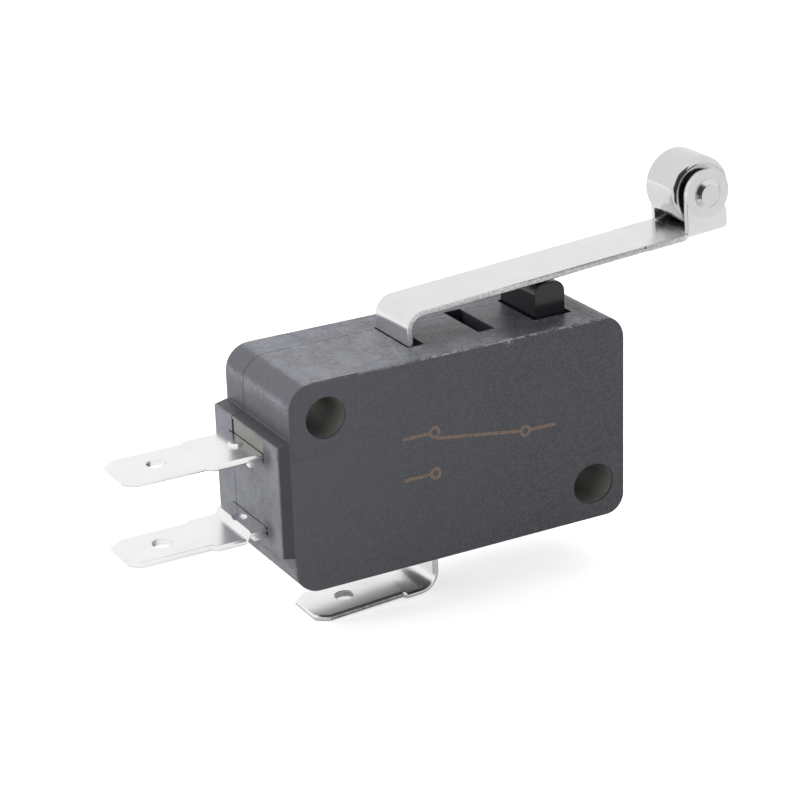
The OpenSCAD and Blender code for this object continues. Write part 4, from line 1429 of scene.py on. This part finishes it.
@dataclass
class Terminals:
    """The three tinned terminals with their coined tabs.

    Attributes:
        hole: Radius of a tab's hole and its distance from the tip.
        levels: Z of the normally closed and the normally open terminal.
        dimple: Radius, height and rounding of the raised dimple.
        dish: Radius of the ball that sinks the other dimple, and its height over it.
        lug: Length, width and depth of a stop lug.
        joggle: Distance from the block, length and rise of the joggle.
        notches: Z of the contact lever's and of the drive lever's knife edge.
        window: Reach before the posts, half width and height of the gap between them.
    """
    finishes: Finishes
    thick: float = 0.5
    tab_width: float = 4.75
    tip_width: float = 3.0
    tip: float = 1.0
    shoulder: float = 5.55
    inner: float = 4.4
    coin: float = 0.16
    hole: Pair = (0.7, 3.35)
    levels: Pair = Case.terminal_levels
    widen: float = 0.4
    block_x: float = -3.95
    wall_x: float = -1.6
    shoulder_back: float = 4.1
    contact_x: float = 2.5
    rivet: float = 0.65
    inner_end: float = 4.3
    dimple_x: float = -4.8
    dimple: Span = (0.55, 0.2, 0.19)
    dish: Pair = (1.0, 0.8)
    lug: Span = (1.1, 0.498, 0.3)
    lug_gap: float = 0.03
    lug_round: float = 0.13
    hole_round: float = 0.06
    joggle: Span = (1.3, 0.306, 0.53)
    rivet_head: float = 0.2
    slope: float = 3.0
    bend: float = 1.35
    fold: float = 0.6
    bottom: float = -13.1
    drop: float = 3.55
    common_widen: float = 0.16
    root: float = 1.2
    leg_x: float = Case.common_at
    post_x: float = 14.3
    post_top: float = 0.9
    plate_z: float = -10.8
    notches: Pair = (-4.875, -4.075)
    window: Span = (1.1, 1.25, 1.5)

    def tab(self, length: float) -> Strip:
        """A coined tab from its tip at X = 0, ready to grow on at its root.

        Args:
            length: Distance from the tip to the shoulder.

        Returns:
            The strip, growing from the tab's root.
        """
        half = self.thick / 2
        strip = Strip.begin(self.tip, self.tip_width, self.thick)
        strip.stretch(self.tab_width).run(length - self.tip)
        strip.round_edges(lambda m, w: abs(abs(m.z) - half) < NEAR
                          and m.x < length - NEAR and (abs(w.y) < 0.98 or m.x < NEAR),
                          self.coin, 1)
        return strip

    def pierce(self, strip: Workpiece) -> None:
        """Makes the hole in a tab whose tip is at X = 0.

        Args:
            strip: The terminal, with its tab flat.
        """
        radius, x = self.hole
        strip.cut(Workpiece.rod(radius, (x, 0, -OVER), 2 * OVER, Axis.Z, 56))
        strip.round_edges(lambda m, w: abs(math.hypot(m.x - x, m.y) - radius) < 0.02
                          and abs(w.z) < SQUARE, self.hole_round, 2)

    def lugs(self, level: float) -> list[Workpiece]:
        """The two stop lugs under the edges of an end terminal.

        Args:
            level: Z of the terminal's middle.

        Returns:
            The two lugs.
        """
        under, made = level - self.thick / 2, []
        length, width, depth = self.lug
        for side in (-1, 1):
            mid = side * (self.shoulder - 0.5) / 2
            lug = Workpiece.block(
                (self.block_x - length, mid - width / 2, under - depth),
                (self.block_x - self.lug_gap, mid + width / 2, under + 0.1))
            lug.round_edges(lambda m, w: abs(w.y) > ALONG and m.z < under,
                            self.lug_round, 3)
            made.append(lug)
        return made

    def rivet_hole(self, level: float) -> Workpiece:
        """Tool for the hole of a fixed contact's rivet."""
        return Workpiece.rod(self.rivet, (self.contact_x, 0, level - OVER), 2 * OVER,
                             Axis.Z)

    def upper(self) -> None:
        """The normally closed terminal: straight, with a raised dimple."""
        tip_x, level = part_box("nc_terminal")[0].x / MM, self.levels[0]
        length = self.block_x - self.shoulder_back - tip_x
        strip = self.tab(length)
        strip.run(self.widen, self.shoulder).run(self.wall_x - tip_x - length - self.widen)
        strip.run(STEP, self.inner).run(self.inner_end - self.wall_x - STEP)
        self.pierce(strip)
        strip.place((tip_x, 0, level), 0)
        top = level + self.thick / 2
        radius, proud, rounding = self.dimple
        boss = Workpiece.rod(radius, (self.dimple_x, 0, level), self.thick / 2 + proud,
                             Axis.Z, 48)
        boss.round_edges(lambda m, w: m.z > top + proud / 2 and abs(w.z) < SQUARE,
                         rounding, 6)
        strip.weld(boss, *self.lugs(level))
        strip.cut(self.rivet_hole(level))
        strip.release("terminal_upper", Body.CASE, "tinned_strip", self.finishes.tin,
                      ("nc_terminal",), 0.03)

    def lower(self) -> None:
        """The normally open terminal: joggled up next to the block, with a sunk dimple."""
        tip_x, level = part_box("no_terminal")[0].x / MM, self.levels[1]
        before_block, ramp, step = self.joggle
        length = self.block_x - self.shoulder_back - tip_x
        step_x = self.block_x - before_block
        inner_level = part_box("no_contact")[0].z / MM + self.rivet_head + self.thick / 2
        strip = self.tab(length)
        strip.run(self.widen, self.shoulder)
        strip.run(step_x - ramp - tip_x - length - self.widen)
        strip.run(ramp, rise=step).run(self.wall_x - step_x)
        drop = inner_level - level
        strip.run(STEP, self.inner).run(self.widen - STEP).run(abs(drop), rise=drop)
        strip.run(self.inner_end - self.wall_x - self.widen - abs(drop))
        self.pierce(strip)
        strip.place((tip_x, 0, level - step), 0)
        strip.weld(*self.lugs(level))
        top = level + self.thick / 2
        radius, over = self.dish
        strip.cut(Workpiece.ball(radius, (self.dimple_x, 0, top + over)))
        strip.cut(self.rivet_hole(inner_level))
        strip.release("terminal_lower", Body.CASE, "tinned_strip", self.finishes.tin,
                      ("no_terminal",), 0.03)

    def common(self) -> None:
        """The common terminal: bent tab, leg, inner plate and the two notched uprights."""
        blade_z, drive_z = self.notches
        sine, cosine = (f(math.radians(self.slope)) for f in (math.sin, math.cos))
        start_x = self.leg_x - self.bend * (1 - sine)
        start_z = self.bottom - self.drop
        length = start_x / cosine
        root = length - self.root
        strip = self.tab(root - self.common_widen)
        strip.run(self.common_widen, self.shoulder).run(length - root)
        strip.fold(90 - self.slope, self.bend, 16)
        strip.run(self.plate_z - self.fold - start_z - self.bend * cosine)
        strip.fold(-90, self.fold).run(STEP, self.inner)
        strip.run(self.post_x - self.leg_x - 2 * self.fold - STEP).fold(90, self.fold)
        strip.run(drive_z + self.post_top - self.plate_z - self.fold)
        self.pierce(strip)
        strip.place((0, 0, start_z - length * sine), self.slope)
        before, half, over = self.window
        strip.cut(Workpiece.block(
            (self.post_x - before, -half, self.plate_z + over),
            (self.post_x + self.thick, half, drive_z + 2 * OVER)))
        for side, level in ((-1, blade_z), (1, drive_z)):
            wedge = Workpiece.block((-0.5, -self.inner, -0.5), (0.5, self.inner, 0.5))
            wedge.place((0, 0, 0), 45)
            wedge.place((self.post_x + side * 0.5 ** 0.5, 0, level), 0)
            strip.cut(wedge)
        strip.release("terminal_common", Body.CASE, "tinned_strip", self.finishes.common,
                      ("com_terminal",), 0.03)

    def build(self) -> None:
        """Makes the three terminals and hands them to the frame."""
        self.upper()
        self.lower()
        self.common()


@dataclass
class Plunger:
    """The moulded button under the lever, with its flange and rounded foot.

    Attributes:
        flange: Z of its underside and of its top, and its reach past the head.
    """
    finishes: Finishes
    middle: float = 20.1
    half_length: float = 1.3
    ease: float = 0.03
    head_round: float = 0.9
    rim: float = 0.12
    flange: Span = (0.44, 1.44, 0.85)
    foot: float = 1.0
    foot_top: float = 1.0

    def build(self) -> None:
        """Makes the plunger and hands it to the frame."""
        low, high = (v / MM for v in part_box("plunger"))
        mid, flat = self.middle, high.y
        flange_low, flange_high, reach = self.flange
        half = self.half_length
        inner = flat - self.ease
        head = Workpiece.block((mid - half, low.y, flange_low), (mid + half, flat, high.z))
        head.round_edges(lambda m, w: abs(w.y) > ALONG and m.z > high.z - NEAR,
                         self.head_round, 10)
        foot = Workpiece.block((mid - self.foot, -inner, low.z),
                               (mid + self.foot, inner, self.foot_top))
        foot.round_edges(lambda m, w: abs(w.y) > ALONG and m.z < low.z + NEAR,
                         self.foot - HAIR, 10)
        head.weld(foot, Workpiece.block((mid - half - reach, -inner, flange_low - 0.01),
                                        (mid + half + reach - 0.1, inner, flange_high)))
        head.round_edges(lambda m, w: abs(abs(m.y) - flat) < NEAR and m.z > flange_high
                         and abs(w.y) < SQUARE, self.rim, 3)
        head.release("plunger_button", Body.BUTTON, "plunger_plastic",
                     self.finishes.plunger, ("plunger",), 0.04)


@dataclass
class RollerLever:
    """The bent steel lever with its clevis, and the roller on its riveted pin.

    Attributes:
        foot: Bend radius and length of the hooked foot.
        heel: Reach of the floor past the ears, and the height from which it is cut free.
        axis: X and Z of the roller's axis while the arm is still level.
        roller: Radius, front and back of the roller.
        rims: Rounding of its front and of its back rim.
        bore_rim: Distance from the axis that takes in the bore's rims, and their rounding.
        pin: Radius of the shank and of the heads, height of a head, half the shank.
        head_steps: Gap under a head and height of its rim.
        pin_ease: Play of the pin in the ears and in the roller.
        arm_start: Where the arm begins, at the bend.
        clear: A corner beyond everything on the lever.
        notch: Start and end before the clevis, and depth, of the notch in the edge.
    """
    finishes: Finishes
    thick: float = 0.5
    width: float = 4.8
    bend: float = 1.15
    foot: Pair = (0.45, 1.05)
    leg: float = 2.3
    slope: float = 3.75
    root_x: float = 19.38
    ear_x: float = 23.06
    ear: float = 3.53
    ear_top: float = 1.82
    heel: Pair = (0.12, 1.5)
    side_bend: float = 0.45
    half_wide: float = 2.48
    axis: Pair = (24.994, 3.031)
    arm_start: Span = (9.4102, 0.0, 5.0479)
    clear: Span = (30.0, 4.0, 9.0)
    widen: float = 0.3
    edge: float = 0.1
    notch: Span = (0.25, 0.03, 0.17)
    roller: Span = (2.64, -1.66, 1.95)
    rims: Pair = (0.55, 0.16)
    bore_rim: Pair = (1.0, 0.12)
    pin: tuple[float, float, float, float] = (0.7, 1.16, 0.36, 2.49)
    pin_flat: float = 0.8
    head_steps: Pair = (0.005, 0.05)
    head_round: float = 0.045
    pin_ease: Pair = (0.01, 0.05)

    def raise_ears(self, strip: Strip, x0: float, x1: float, flat: float) -> None:
        """Folds both edges of the clevis floor up into ears.

        Args:
            strip: The lever, flat at the clevis.
            x0: Start of the ears.
            x1: End of the ears.
            flat: Half the width of the flat floor.
        """
        top = self.axis[1] + self.ear_top
        for side in (-1, 1):
            with strip.editing():
                strip.pick(Element.FACE, lambda m, n: n.y * side > ALONG
                           and x0 + 0.1 < m.x < x1 and abs(m.z) < NEAR)
                bpy.ops.mesh.spin(steps=8, angle=-side * math.pi / 2, axis=(1, 0, 0),
                                  center=(x0, side * flat, self.side_bend))
                strip.extrude((0, 0, top - self.side_bend))

    def make_lever(self) -> None:
        """The lever itself: arm, bend, leg, hooked foot and the clevis at its end."""
        flat = self.half_wide - self.thick / 2 - self.side_bend
        x1 = self.ear_x + self.ear + self.heel[0]
        strip = Strip.begin(self.root_x, self.width, self.thick)
        strip.run(self.widen, 2 * self.half_wide)
        strip.run(self.ear_x - self.root_x - self.widen)
        strip.run(STEP, 2 * flat).run(x1 - self.ear_x - STEP)
        self.raise_ears(strip, self.ear_x, x1, flat)
        strip.grow_from((0, 0), 180)
        strip.width = self.width
        strip.fold(90 - self.slope, self.bend, 16).run(self.leg)
        strip.fold(90, self.foot[0]).run(self.foot[1])
        top = self.axis[1] + self.ear_top
        clear_y = self.clear[1]
        strip.cut(Workpiece.block((self.ear_x + self.ear, -clear_y, self.heel[1]),
                                  self.clear))
        strip.round_edges(lambda m, w: abs(w.y) > ALONG and m.z > top - NEAR,
                          self.ear / 2 - 2 * HAIR, 16)
        x, z = self.axis
        strip.cut(Workpiece.rod(self.pin[0] + self.pin_ease[0], (x, -clear_y, z),
                                2 * clear_y, Axis.Y, 48))
        strip.tidy()
        strip.soften(self.edge, None)
        start, end, deep = self.notch
        strip.cut(Workpiece.block((self.root_x - start, -self.width / 2 - OVER, 0.04),
                                  (self.root_x - end, -self.width / 2 + deep, OVER)))
        strip.place(self.arm_start, self.slope)
        strip.release("lever_arm", Body.LEVER, "lever_steel", self.finishes.lever,
                      ("actuator_lever",), 0.0)

    def make_pin(self) -> None:
        """The pin, whose ends are riveted over the ears."""
        shank, head, proud, half = self.pin
        under, rim = self.head_steps
        x, z = self.axis
        pin = Workpiece.rod(shank, (x, -half, z), 2 * half, Axis.Y, 56)
        for side in (-1, 1):
            with pin.editing():
                pin.pick(Element.FACE, lambda m, n: n.y * side > ALONG)
                for rise, size in ((under, head / shank), (rim, 1.0),
                                   (proud - under - rim, self.pin_flat / head)):
                    pin.extrude((0, side * rise, 0))
                    bpy.ops.transform.resize(value=(size, 1, size))
        pin.round_edges(lambda m, w: abs(m.y) > half + rim and abs(w.y) < SQUARE,
                        self.head_round, 3)
        pin.place(self.arm_start, self.slope)
        pin.release("roller_rivet", Body.LEVER, "pin_steel", self.finishes.pin,
                    ("roller_pin",), 0.0)

    def make_roller(self) -> None:
        """The roller with rounded rims and a bore with rounded edges."""
        radius, front, back = self.roller
        x, z = self.axis
        wheel = Workpiece.rod(radius, (x, front, z), back - front, Axis.Y, 128)
        for face, rim in zip((front, back), self.rims):
            wheel.round_edges(rim_at(face), rim, 8)
        wheel.cut(Workpiece.rod(self.pin[0] + self.pin_ease[1], (x, -self.clear[1], z),
                                2 * self.clear[1], Axis.Y, 64))
        wheel.round_edges(lambda m, w: min(abs(m.y - front), abs(m.y - back)) < NEAR
                          and abs(w.y) < SQUARE
                          and math.hypot(m.x - x, m.z - z) < self.bore_rim[0],
                          self.bore_rim[1], 3)
        wheel.place(self.arm_start, self.slope)
        wheel.release("roller_wheel", Body.WHEEL, "roller_steel", self.finishes.roller,
                      ("roller",), 0.0)

    def build(self) -> None:
        """Makes the lever, the pin and the roller and hands them to the frame."""
        self.make_lever()
        self.make_pin()
        self.make_roller()


@dataclass
class InnerParts:
    """The snap mechanism, which keeps its CAD shapes and gets its finishes here."""
    finishes: Finishes

    def build(self) -> None:
        """Dresses the CAD nodes of the mechanism."""
        dress = {
            "nc_contact": self.finishes.silver, "no_contact": self.finishes.silver,
            "moving_contact": self.finishes.silver, "contact_lever": self.finishes.copper,
            "drive_lever": self.finishes.spring, "tension_spring": self.finishes.spring,
        }
        for name, finish in dress.items():
            obj = frame["nodes"][name]
            obj.data.materials.clear()
            obj.data.materials.append(finish)
            log.info("%s: dressed", name)


@dataclass
class Studio:
    """White surroundings, a pale floor, soft lamps, grey cards and the camera.

    Attributes:
        floor_glow: Glow of the floor for the camera, and in gloss.
        lamps: Place, size and power of each lamp.
        cards: Place, width, height and turn in degrees of each card.
        target: Where the lamps are aimed.
        eye: Place of the camera.
        azimuth: Its heading from +Y towards +X, in degrees.
        dip: How far it looks down, in degrees.
        roll: Its turn about its own axis, in degrees.
    """
    world: float = 0.5
    floor_size: float = 3.0
    floor_white: float = 0.75
    floor_glow: Pair = (0.64, 0.14)
    lamps: tuple[tuple[Span, float, float], ...] = (
        ((-0.46, 0.58, 0.42), 0.68, 4.6),
        ((0.12, 0.24, 0.68), 0.60, 2.2),
        ((-0.34, -0.14, 0.14), 0.26, 0.36),
    )
    cards: tuple[tuple[Span, float, float, float], ...] = (
        ((0.0276, -0.0140, 0.0160), 0.017, 0.017, -26),
        ((0.0295, -0.0110, 0.0062), 0.008, 0.006, -30),
        ((0.0245, -0.0150, 0.0125), 0.034, 0.004, 0),
    )
    card_grey: float = 0.05
    target: Span = (0.011, 0.0, -0.003)
    eye: Span = (-0.072507, -0.150933, 0.065546)
    azimuth: float = 28.26
    dip: float = 21.574
    roll: float = -1.953
    lens: float = 113.13
    sensor: float = 36.0
    clip: Pair = (0.01, 10.0)

    @staticmethod
    def seen(graph: Graph) -> Socket:
        """1 for rays from the camera, from gloss and through glass, else 0.

        Args:
            graph: The graph that gets the nodes.

        Returns:
            The mask.
        """
        path = graph.node("ShaderNodeLightPath").outputs
        gloss = graph.most(path["Is Camera Ray"], path["Is Glossy Ray"])
        return graph.most(gloss, path["Is Transmission Ray"])

    def make_world(self) -> None:
        """White to the eye and in reflections, and an even soft light on the object."""
        world = bpy.context.scene.world = bpy.data.worlds.new("studio")
        graph = Graph.on(world)
        strength = graph.ramp(self.seen(graph), 0.0, 1.0, self.world, 1.0)
        back = graph.node("ShaderNodeBackground", {"Color": WHITE, "Strength": strength})
        graph.node("ShaderNodeOutputWorld", {"Surface": back.outputs[0]})

    def floor_strength(self, graph: Graph) -> Socket:
        """How much the floor glows for the camera and, less, in gloss and through glass.

        Args:
            graph: The graph that gets the nodes.

        Returns:
            The strength.
        """
        path = graph.node("ShaderNodeLightPath").outputs
        direct, gloss = self.floor_glow
        mirrored = graph.most(path["Is Glossy Ray"], path["Is Transmission Ray"])
        return graph.plus(graph.times(path["Is Camera Ray"], direct),
                          graph.times(mirrored, gloss))

    def make_floor(self) -> None:
        """A pale floor that keeps the object's shadow and is clear from below."""
        bpy.ops.mesh.primitive_plane_add(size=self.floor_size,
                                         location=(0, 0, CAD_BOX[0].z))
        floor = bpy.context.object
        floor.name = "studio_floor"
        material = bpy.data.materials.new("studio_floor")
        graph = Graph.on(material)
        white = self.floor_white
        matt = graph.node("ShaderNodeBsdfDiffuse", {"Color": (white, white, white, 1)})
        glow = graph.node("ShaderNodeEmission", {
            "Color": WHITE, "Strength": self.floor_strength(graph)})
        both = graph.node("ShaderNodeAddShader", {0: matt.outputs[0], 1: glow.outputs[0]})
        under = graph.node("ShaderNodeNewGeometry").outputs["Backfacing"]
        clear = graph.node("ShaderNodeBsdfTransparent")
        shown = graph.node("ShaderNodeMixShader", {0: under, 1: both.outputs[0],
                                                   2: clear.outputs[0]})
        graph.node("ShaderNodeOutputMaterial", {"Surface": shown.outputs[0]})
        floor.data.materials.append(material)

    def make_cards(self) -> None:
        """Small upright dark cards by the roller, which show in the gloss of metal only."""
        material = bpy.data.materials.new("studio_card")
        graph = Graph.on(material)
        grey = graph.node("ShaderNodeEmission", {"Color": WHITE,
                                                 "Strength": self.card_grey})
        graph.node("ShaderNodeOutputMaterial", {"Surface": grey.outputs[0]})
        for number, (spot, width, height, turn) in enumerate(self.cards):
            bpy.ops.mesh.primitive_plane_add(size=1, location=spot, rotation=(
                math.pi / 2, 0, math.radians(turn)))
            card = bpy.context.object
            card.scale = (width, height, 1)
            card.name = f"studio_card_{number}"
            card.data.materials.append(material)
            card.visible_camera = card.visible_diffuse = card.visible_transmission = False
            card.visible_shadow = card.visible_volume_scatter = False

    def make_lamps(self) -> None:
        """Soft square lamps aimed at the middle of the object."""
        for number, (spot, size, power) in enumerate(self.lamps):
            light = bpy.data.lights.new(f"softbox_{number}", "AREA")
            light.shape, light.size, light.energy = "SQUARE", size, power
            lamp = bpy.data.objects.new(light.name, light)
            lamp.location = spot
            lamp.visible_glossy = False
            way = Vector(self.target) - Vector(spot)
            lamp.rotation_euler = way.to_track_quat("-Z", "Y").to_euler()
            bpy.context.scene.collection.objects.link(lamp)

    def make_camera(self) -> None:
        """The camera at its place, aimed by azimuth, dip and roll."""
        a, d, r = (math.radians(v) for v in (self.azimuth, self.dip, self.roll))
        ahead = Vector((math.sin(a) * math.cos(d), math.cos(a) * math.cos(d), -math.sin(d)))
        level = Vector((math.cos(a), -math.sin(a), 0))
        right = level * math.cos(r) + level.cross(ahead) * math.sin(r)
        turn = Matrix((right, right.cross(ahead), -ahead)).transposed()
        data = bpy.data.cameras.new("camera")
        data.lens, data.sensor_width = self.lens, self.sensor
        data.clip_start, data.clip_end = self.clip
        camera = bpy.data.objects.new("camera", data)
        camera.matrix_world = Matrix.Translation(self.eye) @ turn.to_4x4()
        bpy.context.scene.collection.objects.link(camera)
        bpy.context.scene.camera = camera

    def build(self) -> None:
        """Sets up the studio."""
        bpy.context.scene.view_settings.view_transform = "Standard"
        self.make_world()
        self.make_floor()
        self.make_cards()
        self.make_lamps()
        self.make_camera()


def main() -> None:
    """Builds the switch piece by piece, and the studio round it."""
    logging.basicConfig(level=logging.INFO, format="%(name)s: %(message)s")
    for name in [o.name for o in bpy.data.objects if o.name in ("Cube", "Light", "Camera")]:
        bpy.data.objects.remove(bpy.data.objects[name])
    finishes = Finishes()
    for assembly in (Case(finishes), ContactSymbol(finishes), Terminals(finishes),
                     Plunger(finishes), RollerLever(finishes), InnerParts(finishes)):
        assembly.build()
        log.info("%s built", type(assembly).__name__)
    Studio().build()


if __name__ == "__main__":
    main()
